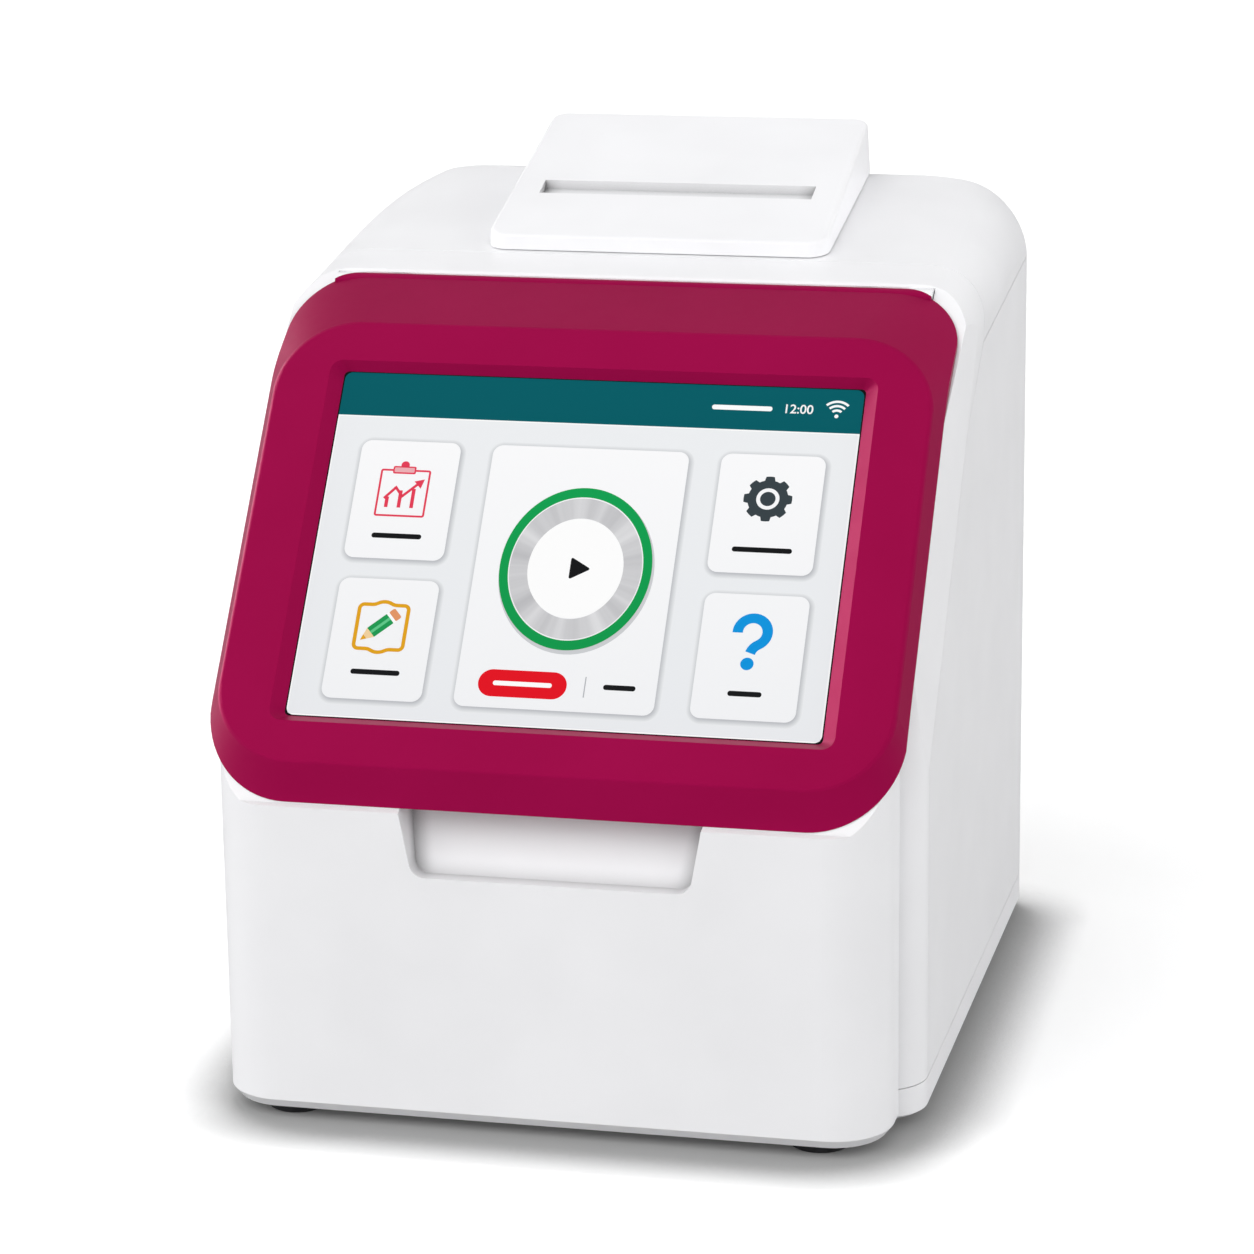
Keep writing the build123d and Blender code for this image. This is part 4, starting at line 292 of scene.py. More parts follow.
@dataclass(frozen=True)
class CircuitBoard(Finish):
    """Green solder mask over copper: glossy, with tracks showing through in the second tone."""

    pitch_mm: float = 1.6  # spacing of the tracks
    gap: float = 0.35  # width of the gap between two of them, in pitches
    length: float = 6.0  # length of one, in pitches

    def wire(self, nodes: Nodes) -> None:
        """Build the board: rows of short tracks under a glossy mask."""
        place = nodes.place()
        pitch = self.pitch_mm * MM
        cells = nodes.add("TexBrick", {
            "Vector": place, "Scale": 1.0,
            "Color1": linear(self.colour), "Color2": linear(self.tone),
            "Mortar": linear(self.colour), "Mortar Size": pitch * self.gap,
            "Brick Width": pitch * self.length, "Row Height": pitch,
        })
        nodes.finish({
            "Base Color": cells.outputs["Color"],
            "Roughness": nodes.uneven(place, 5.0, low=0.22, high=0.34),
            "Normal": nodes.grain(place, 1.0, strength=0.08),
            "IOR": 1.5,
        })


@dataclass(frozen=True)
class ClearPlastic(Finish):
    """Moulded polycarbonate or glass: clear with a slight tint, crisp reflections."""

    transmission: float
    roughness: float = 0.08
    rougher: float = 0.05  # how far the roughness strays up

    def wire(self, nodes: Nodes) -> None:
        """Build the clear plastic with faint flow marks."""
        place = nodes.place()
        nodes.finish({
            "Base Color": nodes.mottled(place, 8.0, self.colour, self.tone),
            "Roughness": nodes.uneven(place, 5.0, self.roughness, self.roughness + self.rougher),
            "Normal": nodes.grain(place, 3.0, strength=0.03),
            "Transmission Weight": self.transmission,
            "IOR": 1.57,
        })


@dataclass(frozen=True)
class Paperboard(Finish):
    """Thermal paper or wound card: dull, with short fibres."""

    fibres: Triple = (0.3, 1.0, 1.0)  # stretch of the fibres along X, Y and Z

    def wire(self, nodes: Nodes) -> None:
        """Build the paper: fibres as a stretched mottle."""
        place = nodes.place(self.fibres)
        nodes.finish({
            "Base Color": nodes.mottled(place, 0.8, self.colour, self.tone, detail=5.0),
            "Roughness": nodes.uneven(place, 1.5, low=0.75, high=0.9),
            "Normal": nodes.grain(place, 0.4, strength=0.2),
            "IOR": 1.45,
        })


@dataclass(frozen=True)
class ScreenInk(Finish):
    """Lit picture behind glass: even, bright, fading to its second tone down the screen."""

    half_mm: float = 59.0  # half the height over which the colours fade

    def wire(self, nodes: Nodes) -> None:
        """Build the lit picture: a fade along the screen, part reflected and part emitted."""
        middle, half = SCREEN.origin.dot(SCREEN.up), self.half_mm * MM
        rise = nodes.span(nodes.dot(nodes.place(), SCREEN.up), (middle - half, middle + half))
        nodes.lit_picture(nodes.tones(rise, self.tone, self.colour))


@dataclass(frozen=True)
class ShadowInk(Finish):
    """Soft drop shadow printed round a card on the screen: grey at the card, gone at its rim."""

    def wire(self, nodes: Nodes) -> None:
        """Build the shadow from the ring's own depth attribute."""
        depth = nodes.add("Attribute", attribute_name=SHADE).outputs["Fac"]
        nodes.lit_picture(nodes.tones(depth, self.tone, self.colour))


@dataclass(frozen=True)
class BrushedRingInk(Finish):
    """Picture of a spun metal ring: grey sectors that brighten and darken round its middle."""

    middle: Pair
    sectors: float = 2.2  # how quickly the greys change round the ring
    noise: Pair = (0.35, 0.65)  # noise values that give the dark and the light grey

    def wire(self, nodes: Nodes) -> None:
        """Build the sectors from the angle about the ring's middle."""
        centre = tuple(SCREEN.point(*self.middle, 0.0))
        offset = nodes.add("VectorMath", {0: nodes.place(), 1: centre}, operation="SUBTRACT")
        across = nodes.add("SeparateXYZ", {"Vector": offset.outputs["Vector"]}).outputs["X"]
        along = nodes.dot(offset.outputs["Vector"], SCREEN.up)
        turn = nodes.add("CombineXYZ", {"X": nodes.math("ARCTAN2", along, across)})
        noise = nodes.add("TexNoise", {
            "Vector": turn.outputs["Vector"], "Scale": self.sectors, "Detail": 3.0,
        })
        greys = nodes.span(noise.outputs["Fac"], self.noise)
        nodes.lit_picture(nodes.tones(greys, self.colour, self.tone))


# ---- the screen's own place
@dataclass(frozen=True)
class ScreenPlace:
    """Plane of the lid's screen: its middle and how far it leans back."""

    origin: Vector = Vector((0.0, -73.15, 172.15)) * MM
    tilt: float = math.radians(38.6)

    @property
    def up(self) -> Vector:
        """Direction up the screen."""
        return Vector((0.0, math.sin(self.tilt), math.cos(self.tilt)))

    @property
    def out(self) -> Vector:
        """Direction out of the screen, towards the viewer."""
        return Vector((0.0, -math.cos(self.tilt), math.sin(self.tilt)))

    def point(self, right_mm: float, up_mm: float, rise_mm: float) -> Vector:
        """World point at a place on the screen, in millimetres from its middle."""
        across = Vector((right_mm, 0, 0)) * MM
        return self.origin + across + self.up * up_mm * MM + self.out * rise_mm * MM

    def matrix(self, right_mm: float = 0.0, up_mm: float = 0.0, rise_mm: float = 0.0) -> Matrix:
        """Transform from flat millimetre drawings to the screen, centred at the given place."""
        place = Matrix.Translation(self.point(right_mm, up_mm, rise_mm))
        axes = Matrix((Vector((1, 0, 0)), self.up, self.out)).transposed().to_4x4()
        return place @ axes @ Matrix.Scale(MM, 4)


SCREEN = ScreenPlace()
RING_MIDDLE = (0.6, -5.65)  # middle of the start ring, which its ink needs too


# ---- flat drawings for the screen
def add_piece(
    name: str, shape: Shape, place: Matrix, body: str, material: Material,
) -> bpy.types.Object:
    """Turn a finished shape into a piece that rides on a body.

    Args:
        name: the piece's name.
        shape: its mesh, in millimetres about its own middle; it is freed here.
        place: transform into the frame.
        body: the body that it rides on.
        material: its finish.

    Returns:
        The new object.
    """
    bmesh.ops.transform(shape, matrix=place, verts=shape.verts)
    bmesh.ops.recalc_face_normals(shape, faces=shape.faces)
    mesh = bpy.data.meshes.new(name)
    shape.to_mesh(mesh)
    shape.free()
    mesh.materials.append(material)
    piece = bpy.data.objects.new(name, mesh)
    bpy.context.scene.collection.objects.link(piece)
    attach(piece, body)
    LOG.info("piece %s: %d faces on %s", name, len(mesh.polygons), body)
    return piece


def thicken(shape: Shape, height: float) -> None:
    """Give every flat face of a drawing a height, closing it to a slab."""
    faces = list(shape.faces)
    raised = bmesh.ops.extrude_face_region(shape, geom=faces, use_keep_orig=True)
    verts = [item for item in raised["geom"] if isinstance(item, bmesh.types.BMVert)]
    bmesh.ops.translate(shape, vec=(0, 0, height), verts=verts)


def rounded_card(
    width: float, height: float, radius: float, segments: int = 8, top_only: bool = False,
) -> Shape:
    """Flat rectangle with rounded corners, centred on the origin.

    Args:
        width: along X.
        height: along Y.
        radius: of the corners.
        segments: steps in each corner.
        top_only: leave the two lower corners square.

    Returns:
        The one-faced shape.
    """
    card = bmesh.new()
    bmesh.ops.create_grid(card, x_segments=1, y_segments=1, size=0.5)
    bmesh.ops.scale(card, vec=(width, height, 1.0), verts=card.verts)
    corners = [vert for vert in card.verts if vert.co.y > 0 or not top_only]
    bmesh.ops.bevel(
        card, geom=corners, offset=radius, offset_type="OFFSET", segments=segments,
        profile=0.5, affect="VERTICES", material=-1,
    )
    return card


def absorb(shape: Shape, added: Shape) -> None:
    """Add a drawing to another one; the added one is freed."""
    carrier = bpy.data.meshes.new("carrier")
    added.to_mesh(carrier)
    added.free()
    shape.from_mesh(carrier)
    bpy.data.meshes.remove(carrier)


def triangle(radius: float, turn: float) -> Shape:
    """Flat filled triangle about the origin, turned by an angle in degrees."""
    shape = bmesh.new()
    bmesh.ops.create_circle(shape, cap_ends=True, segments=3, radius=radius)
    turned = Matrix.Rotation(math.radians(turn), 3, "Z")
    bmesh.ops.rotate(shape, cent=(0, 0, 0), matrix=turned, verts=shape.verts)
    return shape


def disc(radius_x: float, radius_y: float, segments: int = 72) -> Shape:
    """Flat filled ellipse about the origin."""
    shape = bmesh.new()
    bmesh.ops.create_circle(shape, cap_ends=True, segments=segments, radius=1.0)
    bmesh.ops.scale(shape, vec=(radius_x, radius_y, 1.0), verts=shape.verts)
    return shape


def band(outer: float, inner: float, segments: int = 96, stretch: float = 1.0) -> Shape:
    """Flat ring about the origin, spun from one short edge.

    Args:
        outer: outer radius.
        inner: inner radius.
        segments: steps of the spin.
        stretch: how much taller than wide the ring is.

    Returns:
        The ring.
    """
    ring = bmesh.new()
    start = [ring.verts.new((inner, 0, 0)), ring.verts.new((outer, 0, 0))]
    edge = ring.edges.new(start)
    bmesh.ops.spin(
        ring, geom=[*start, edge], cent=(0, 0, 0), axis=(0, 0, 1), angle=math.tau,
        steps=segments, use_merge=True,
    )
    bmesh.ops.scale(ring, vec=(1.0, stretch, 1.0), verts=ring.verts)
    return ring


class Pen:
    """Draws a flat ribbon of one width: straight runs are extruded, bends are spun."""

    STEP = 9  # degrees of a bend to one face

    def __init__(self, width: float, start: Pair, heading: float) -> None:
        """Place the pen.

        Args:
            width: width of the ribbon.
            start: where it starts.
            heading: direction in degrees, 0 along +X.
        """
        self.shape = bmesh.new()
        self.width = width
        self.lift(start, heading)

    @classmethod
    def strokes(cls, width: float, strokes: tuple[Stroke, ...]) -> "Pen":
        """Draw straight strokes, each given by its start, its heading and its length."""
        (start, heading, length), *others = strokes
        pen = cls(width, start, heading).run(length)
        for start, heading, length in others:
            pen.lift(start, heading).run(length)
        return pen

    def lift(self, start: Pair, heading: float) -> "Pen":
        """Start a new stroke elsewhere in the same drawing."""
        self.at = Vector((start[0], start[1], 0.0))
        self.heading = math.radians(heading)
        side = self._side() * self.width / 2
        ends = [self.shape.verts.new(self.at + side), self.shape.verts.new(self.at - side)]
        self.edge = self.shape.edges.new(ends)
        return self

    def _along(self) -> Vector:
        """Unit vector ahead of the pen."""
        return Vector((math.cos(self.heading), math.sin(self.heading), 0.0))

    def _side(self) -> Vector:
        """Unit vector to the pen's left."""
        return Vector((-math.sin(self.heading), math.cos(self.heading), 0.0))

    def run(self, length: float) -> "Pen":
        """Draw straight ahead."""
        grown = bmesh.ops.extrude_edge_only(self.shape, edges=[self.edge])["geom"]
        verts = [item for item in grown if isinstance(item, bmesh.types.BMVert)]
        step = self._along() * length
        bmesh.ops.translate(self.shape, vec=step, verts=verts)
        self.at += step
        self.edge = self.shape.edges.get(verts)
        return self

    def bend(self, radius: float, angle: float) -> "Pen":
        """Draw an arc.

        Args:
            radius: of the ribbon's middle line.
            angle: degrees, positive to the left.

        Returns:
            The pen itself.
        """
        turn = math.radians(angle)
        centre = self.at + self._side() * math.copysign(radius, angle)
        steps = max(2, int(abs(angle) / self.STEP))
        spun = bmesh.ops.spin(
            self.shape, geom=[*self.edge.verts, self.edge], cent=centre, axis=(0, 0, 1), angle=turn,
            steps=steps, use_merge=False,
        )["geom_last"]
        self.edge = next(item for item in spun if isinstance(item, bmesh.types.BMEdge))
        self.at = centre + Matrix.Rotation(turn, 3, "Z") @ (self.at - centre)
        self.heading += turn
        return self


def spot(shape: Shape, centre: Pair, radius: float, segments: int = 24) -> None:
    """Add a filled disc to a drawing."""
    made = bmesh.ops.create_circle(shape, cap_ends=True, segments=segments, radius=radius)
    bmesh.ops.translate(shape, vec=(*centre, 0.0), verts=made["verts"])


@dataclass(frozen=True)
class Card:
    """One rounded panel of the screen's picture."""

    name: str
    middle: Pair
    size: Pair


class Level(Enum):
    """Heights of the picture's layers above the glass, in millimetres."""

    EDGE = 0.02
    GROUND = 0.05
    SHADOW = 0.08
    CARD = 0.12
    MARK = 0.16
    TOP = 0.20
    CREST = 0.24
    PEAK = 0.28
    SUMMIT = 0.32


@dataclass(frozen=True)
class Layer:
    """Lays flat drawings on the glass as thin slabs, each in its own ink."""

    inks: Inks

    def draw(
        self, name: str, shape: Shape, ink: str, level: Level, middle: Pair = (0.0, 0.0),
    ) -> bpy.types.Object:
        """Lay a flat drawing on the glass.

        Args:
            name: the piece's name, without the word that all of the picture's pieces share.
            shape: the flat drawing, in millimetres.
            ink: the name of its ink.
            level: the layer that it tops out at.
            middle: where its origin lies on the screen.

        Returns:
            The piece.
        """
        thicken(shape, level.value)
        place = SCREEN.matrix(*middle)
        return add_piece(f"screen_{name}", shape, place, "lid", self.inks[ink])


@dataclass(frozen=True)
class Header(Layer):
    """Lit ground with a teal bar, a clock, a plain bar in the date's place and a signal fan."""

    size: Pair = (166.4, 117.2)  # leaves a thin black border of bare glass
    rim: float = 0.45  # bright line round the picture
    corner: float = 2.4
    ground_corner: float = 0.6
    low: float = 43.7  # lower edge of the teal bar
    date_at: Pair = (45.6, 51.1)
    date_size: Pair = (19.0, 1.6)
    date_corner: float = 0.75
    clock_at: Pair = (63.2, 51.2)
    clock_height: float = 4.3
    clock_weight: float = 0.04
    clock_weld: float = 0.001  # points nearer than this are one
    signal_at: Pair = (75.3, 51.6)
    signal_foot: float = -2.2  # height of the dot that the arcs are drawn about
    signal_dot: float = 0.62
    signal_line: float = 0.75
    signal_radii: Triple = (2.0, 3.5, 5.0)
    signal_spread: float = 86.0  # degrees of each arc

    def build(self) -> None:
        """Build the ground and what the teal bar holds."""
        width, height = self.size
        self.draw("edge", rounded_card(width, height, self.corner), "header_white", Level.EDGE)
        top, foot = self.low - self.rim, -height / 2 + self.rim
        ground = rounded_card(width - 2 * self.rim, top - foot, self.ground_corner, 3)
        self.draw("ground", ground, "ground", Level.GROUND, (0.0, (top + foot) / 2))
        bar_height = height / 2 - self.low
        bar = rounded_card(width, bar_height, self.corner, top_only=True)
        self.draw("header", bar, "teal", Level.SHADOW, (0.0, self.low + bar_height / 2))
        date = rounded_card(*self.date_size, self.date_corner)
        self.draw("date_bar", date, "header_white", Level.CARD, self.date_at)
        self.draw("clock", self.clock_digits(), "header_white", Level.CARD, self.clock_at)
        self.draw("signal", self.signal_fan(), "header_white", Level.CARD, self.signal_at)

    def clock_digits(self) -> Shape:
        """Flat digits of a clock at noon."""
        digits = bpy.data.curves.new("clock_digits", "FONT")
        digits.body = "12:00"
        digits.size = self.clock_height
        digits.align_x = "CENTER"
        digits.align_y = "CENTER"
        digits.offset = self.clock_weight
        holder = bpy.data.objects.new("clock_digits", digits)
        bpy.context.scene.collection.objects.link(holder)
        flat = bpy.data.meshes.new_from_object(holder)
        bpy.data.objects.remove(holder)
        clock = bmesh.new()
        clock.from_mesh(flat)
        bmesh.ops.remove_doubles(clock, verts=clock.verts, dist=self.clock_weld)
        bpy.data.meshes.remove(flat)
        return clock

    def signal_fan(self) -> Shape:
        """Dot under three arcs."""
        fan = bmesh.new()
        spot(fan, (0.0, self.signal_foot), self.signal_dot)
        begin = QUARTER - self.signal_spread / 2
        for radius in self.signal_radii:
            right = radius * math.cos(math.radians(begin))
            up = self.signal_foot + radius * math.sin(math.radians(begin))
            pen = Pen(self.signal_line, (right, up), begin + QUARTER)
            pen.bend(radius, self.signal_spread)
            absorb(fan, pen.shape)
        return fan


@dataclass(frozen=True)
class Cards(Layer):
    """White cards with soft drop shadows."""

    corner: float = 3.3
    shadow: float = 1.6  # reach of the shadow past the card
    fade: float = 1.4  # width of its fade, in the same measure
    shift: Pair = (0.3, -0.5)  # how far the shadow lies off its card
    cards: tuple[Card, ...] = (
        Card("chart", (-57.65, 15.0), (32.1, 40.4)),
        Card("note", (-57.25, -32.25), (31.9, 40.3)),
        Card("start", (0.0, -8.8), (62.4, 88.0)),
        Card("setup", (57.7, 15.4), (32.6, 40.0)),
        Card("query", (58.35, -32.05), (32.3, 41.1)),
    )

    def build(self) -> None:
        """Build each card over its shadow."""
        for card in self.cards:
            below = (card.middle[0] + self.shift[0], card.middle[1] + self.shift[1])
            self.draw(f"{card.name}_shadow", self.halo(*card.size), "shadow", Level.SHADOW, below)
            plate = rounded_card(*card.size, self.corner)
            self.draw(f"{card.name}_card", plate, "card", Level.CARD, card.middle)

    def halo(self, width: float, height: float) -> Shape:
        """Rounded plate whose shade attribute fades from 1 inside to 0 at its rim."""
        past = 2 * self.shadow
        outer = rounded_card(width + past, height + past, self.corner + self.shadow)
        shade = outer.verts.layers.float.new(SHADE)
        bmesh.ops.inset_region(
            outer, faces=list(outer.faces), thickness=self.shadow * self.fade,
            use_even_offset=True, use_boundary=True,
        )
        plate = max(outer.faces, key=lambda face: face.calc_area())
        for vert in plate.verts:
            vert[shade] = 1.0
        return outer


@dataclass(frozen=True)
class StartRing(Layer):
    """Green ring round a spun-metal ring and a white disc with a start mark."""

    middle: Pair = RING_MIDDLE
    outer: float = 23.9  # radii across: green outside, green inside, white disc
    inner: float = 21.1
    button: float = 14.8
    tall: float = 1.14  # how much taller than wide the rings are
    button_tall: float = 1.11
    shadow_past: float = 0.4
    shadow_shift: Pair = (0.4, -0.9)
    line_past: float = 0.3  # the white line inside the green ring
    metal_gap: float = 0.35
    button_past: float = 0.2
    mark: float = 4.4
    mark_round: float = 0.9
    mark_shift: float = 0.5

    def build(self) -> None:
        """Build the rings from the lowest up, then the mark."""
        right, up = self.middle
        below = (right + self.shadow_shift[0], up + self.shadow_shift[1])
        shadow = self.outer + self.shadow_past
        self.draw("ring_shadow", disc(shadow, shadow * self.tall), "shadow_flat", Level.MARK, below)
        line = self.inner + self.line_past
        self.draw("ring_line", disc(line, line * self.tall), "card", Level.TOP, self.middle)
        metal = band(self.inner - self.metal_gap, self.button, stretch=self.tall)
        self.draw("ring_metal", metal, "ring_metal", Level.CREST, self.middle)
        green = band(self.outer, self.inner, stretch=self.tall)
        self.draw("ring_green", green, "green", Level.CREST, self.middle)
        face = self.button + self.button_past
        button = disc(face, face * self.button_tall)
        self.draw("ring_button", button, "header_white", Level.PEAK, self.middle)
        start = triangle(self.mark, -QUARTER)
        bmesh.ops.bevel(
            start, geom=list(start.verts), offset=self.mark_round, segments=4, profile=0.5,
            affect="VERTICES", material=-1,
        )
        self.draw("start_mark", start, "ink", Level.SUMMIT, (right + self.mark_shift, up))


@dataclass(frozen=True)
class ChartIcon(Layer):
    """Red clipboard: three bars under a zigzag line that rises to an arrow head."""

    board_at: Pair = (-58.1, 17.3)
    board_side: float = 14.6
    board_corner: float = 0.5
    board_line: float = 0.65
    drawing_at: Pair = (-58.1, 17.9)
    bars: tuple[Pair, ...] = ((-4.7, 3.6), (-0.6, 5.9), (3.5, 6.6))  # place across and height
    bars_foot: float = -5.6
    bar_width: float = 1.15
    zigzag: tuple[Stroke, ...] = (
        ((-5.7, -2.6), 49, 5.0), ((-2.6, 1.6), -52, 4.1), ((-0.4, -2.1), 44, 7.6),
    )
    zigzag_line: float = 0.85
    arrow_at: Pair = (-53.0, 20.9)
    arrow: Pair = (1.9, -46.0)  # radius and turn
    clip_at: Pair = (-58.6, 25.2)
    clip: Triple = (7.4, 2.6, 0.5)  # width, height and corner
    clip_face: Triple = (6.4, 1.6, 0.3)
    knob_at: Pair = (-58.6, 26.9)
    knob: float = 1.35

    def build(self) -> None:
        """Build the board, what is drawn on it and its clip."""
        half = -self.board_side / 2
        board = Pen(self.board_line, (half, half - self.board_corner), 0)
        for _ in range(4):
            board.run(self.board_side).bend(self.board_corner, QUARTER)
        self.draw("chart_board", board.shape, "red_line", Level.MARK, self.board_at)
        bars = Pen.strokes(self.bar_width, tuple(
            ((across, self.bars_foot), QUARTER, height) for across, height in self.bars
        ))
        self.draw("chart_bars", bars.shape, "red_line", Level.MARK, self.drawing_at)
        line = Pen.strokes(self.zigzag_line, self.zigzag)
        self.draw("chart_line", line.shape, "red_line", Level.TOP, self.drawing_at)
        self.draw("chart_arrow", triangle(*self.arrow), "red_line", Level.CREST, self.arrow_at)
        self.draw("chart_clip", rounded_card(*self.clip, 3), "red_line", Level.TOP, self.clip_at)
        knob = bmesh.new()
        spot(knob, (0.0, 0.0), self.knob)
        self.draw("chart_knob", knob, "red_line", Level.TOP, self.knob_at)
        face = rounded_card(*self.clip_face, 3)
        self.draw("chart_clip_face", face, "clip", Level.CREST, self.clip_at)


@dataclass(frozen=True)
class NoteIcon(Layer):
    """Orange frame that bulges at its top and bottom, with a green pencil across it."""

    frame_at: Pair = (-57.3, -28.2)
    frame_start: Pair = (-6.7, -7.4)
    frame_line: float = 1.2
    frame_run: float = 2.4  # straight part beside each bulge
    frame_side: float = 11.8
    frame_corner: float = 1.5
    bulge: Pair = (3.4, 4.5)  # radii at the foot and on the crown of a bulge
    bulge_turn: float = 30.0
    pencil_at: Pair = (-58.4, -28.1)
    pencil_turn: float = 42.0

    def build(self) -> None:
        """Build the frame, then the pencil part by part."""
        edge = Pen(self.frame_line, self.frame_start, 0)
        foot, crown = self.bulge
        for _ in range(2):
            edge.run(self.frame_run).bend(foot, -self.bulge_turn).bend(crown, 2 * self.bulge_turn)
            edge.bend(foot, -self.bulge_turn).run(self.frame_run).bend(self.frame_corner, QUARTER)
            edge.run(self.frame_side).bend(self.frame_corner, QUARTER)
        self.draw("note_frame", edge.shape, "orange", Level.MARK, self.frame_at)
        slope = Matrix.Rotation(math.radians(self.pencil_turn), 4, "Z")
        for name, shape, along, ink, level in (  # each part, and its place along the pencil
            ("body", rounded_card(7.4, 3.9, 0.2, 2), 0.6, "pencil", Level.TOP),
            ("shine", rounded_card(7.4, 0.9, 0.1, 2), 0.6, "pencil_light", Level.CREST),
            ("ferrule", rounded_card(0.9, 4.1, 0.2, 2), 4.7, "header_white", Level.CREST),
            ("rubber", rounded_card(2.3, 3.9, 0.6, 3), 6.2, "rubber", Level.TOP),
            ("wood", self.cone(4.0, 3.9), -3.1, "wood", Level.TOP),
            ("lead", self.cone(1.8, 1.75), -5.3, "orange", Level.CREST),
        ):
            turned = slope @ Matrix.Translation((along, 0, 0))
            bmesh.ops.transform(shape, matrix=turned, verts=shape.verts)
            self.draw(f"pencil_{name}", shape, ink, level, self.pencil_at)

    def cone(self, length: float, width: float) -> Shape:
        """Flat triangle that points to -X, with its base at the origin."""
        cone = bmesh.new()
        bmesh.ops.create_grid(cone, x_segments=1, y_segments=1, size=0.5)
        bmesh.ops.translate(cone, vec=(-0.5, 0, 0), verts=cone.verts)
        bmesh.ops.scale(cone, vec=(length, width, 1.0), verts=cone.verts)
        ends = [vert for vert in cone.verts if vert.co.x < -length / 2]
        bmesh.ops.pointmerge(cone, verts=ends, merge_co=(-length, 0, 0))
        return cone


@dataclass(frozen=True)
class GearIcon(Layer):
    """Slate gear with tapered teeth and a round eye."""

    middle: Pair = (57.4, 20.5)
    root: float = 6.3  # radius that the teeth stand on
    hole: float = 3.6
    eye: float = 2.4
    teeth: int = 8
    foot: float = 13.5  # half the angle of a tooth at its root, in degrees
    taper: float = 0.66  # width of a tooth at its tip, as a share of that
    reach: float = 1.2  # radius of the tips, as a share of the root's

    def build(self) -> None:
        """Build the toothed ring and the eye."""
        gear = band(self.root, self.hole, 72)
        pitch = math.tau / self.teeth
        between = (self.root + self.hole) / 2
        feet = []
        for edge in gear.edges:
            middle = (edge.verts[0].co + edge.verts[1].co) / 2
            turn = math.atan2(middle.y, middle.x)
            off = abs(turn - round(turn / pitch) * pitch)
            if edge.is_boundary and middle.length > between and off < math.radians(self.foot):
                feet.append(edge)
        grown = bmesh.ops.extrude_edge_only(gear, edges=feet)["geom"]
        for vert in (item for item in grown if isinstance(item, bmesh.types.BMVert)):
            turn = math.atan2(vert.co.y, vert.co.x)
            centre = round(turn / pitch) * pitch
            turn = centre + (turn - centre) * self.taper
            vert.co = Vector((math.cos(turn), math.sin(turn), 0.0)) * vert.co.length * self.reach
        self.draw("gear_icon", gear, "slate", Level.MARK, self.middle)
        self.draw("gear_eye", disc(self.eye, self.eye, 32), "slate", Level.MARK, self.middle)


@dataclass(frozen=True)
class QueryIcon(Layer):
    """Blue question mark: one bent stroke over a dot."""

    middle: Pair = (58.3, -27.6)
    line: float = 3.2
    start: Pair = (-4.7, 3.4)
    end_run: float = 0.3
    bowl: float = 4.6
    bowl_back: float = -62.0  # degrees past the half circle
    stem: Pair = (4.2, 44.0)  # radius and turn of the stem
    stem_run: float = 0.4
    dot_at: Pair = (-0.6, -6.7)
    dot: float = 2.05

    def build(self) -> None:
        """Build the stroke and the dot as one piece."""
        stroke = Pen(self.line, self.start, QUARTER).run(self.end_run)
        stroke.bend(self.bowl, -HALF_TURN).bend(self.bowl, self.bowl_back)
        stroke.bend(*self.stem).run(self.stem_run)
        spot(stroke.shape, self.dot_at, self.dot)
        self.draw("query_icon", stroke.shape, "blue", Level.MARK, self.middle)


@dataclass(frozen=True)
class Bar:
    """Plain rounded bar."""

    name: str
    middle: Pair
    size: Triple  # width, height and corner
    ink: str = "ink"
    level: Level = Level.MARK
    segments: int = 8  # of each corner


@dataclass(frozen=True)
class Bars(Layer):
    """Bars in the place of the captions, a red pill with a bar on it and a thin divider."""

    bars: tuple[Bar, ...] = (
        Bar("chart_label", (-57.75, 2.6), (16.0, 1.7, 0.8)),
        Bar("note_label", (-57.2, -43.3), (15.6, 1.7, 0.8)),
        Bar("setup_label", (57.65, 3.3), (18.6, 1.7, 0.8)),
        Bar("query_label", (58.15, -44.1), (10.4, 1.7, 0.8)),
        Bar("aside_label", (19.7, -44.3), (10.0, 1.7, 0.8)),
        Bar("pill", (-10.45, -44.7), (27.7, 8.9, 4.4), "red", segments=12),
        Bar("pill_bar", (-10.45, -44.7), (18.4, 1.5, 0.7), "header_white", Level.TOP),
        Bar("divider", (9.0, -44.6), (0.35, 6.8, 0.1), "divider", segments=2),
    )

    def build(self) -> None:
        """Build the bars."""
        for bar in self.bars:
            shape = rounded_card(*bar.size, bar.segments)
            self.draw(bar.name, shape, bar.ink, bar.level, bar.middle)


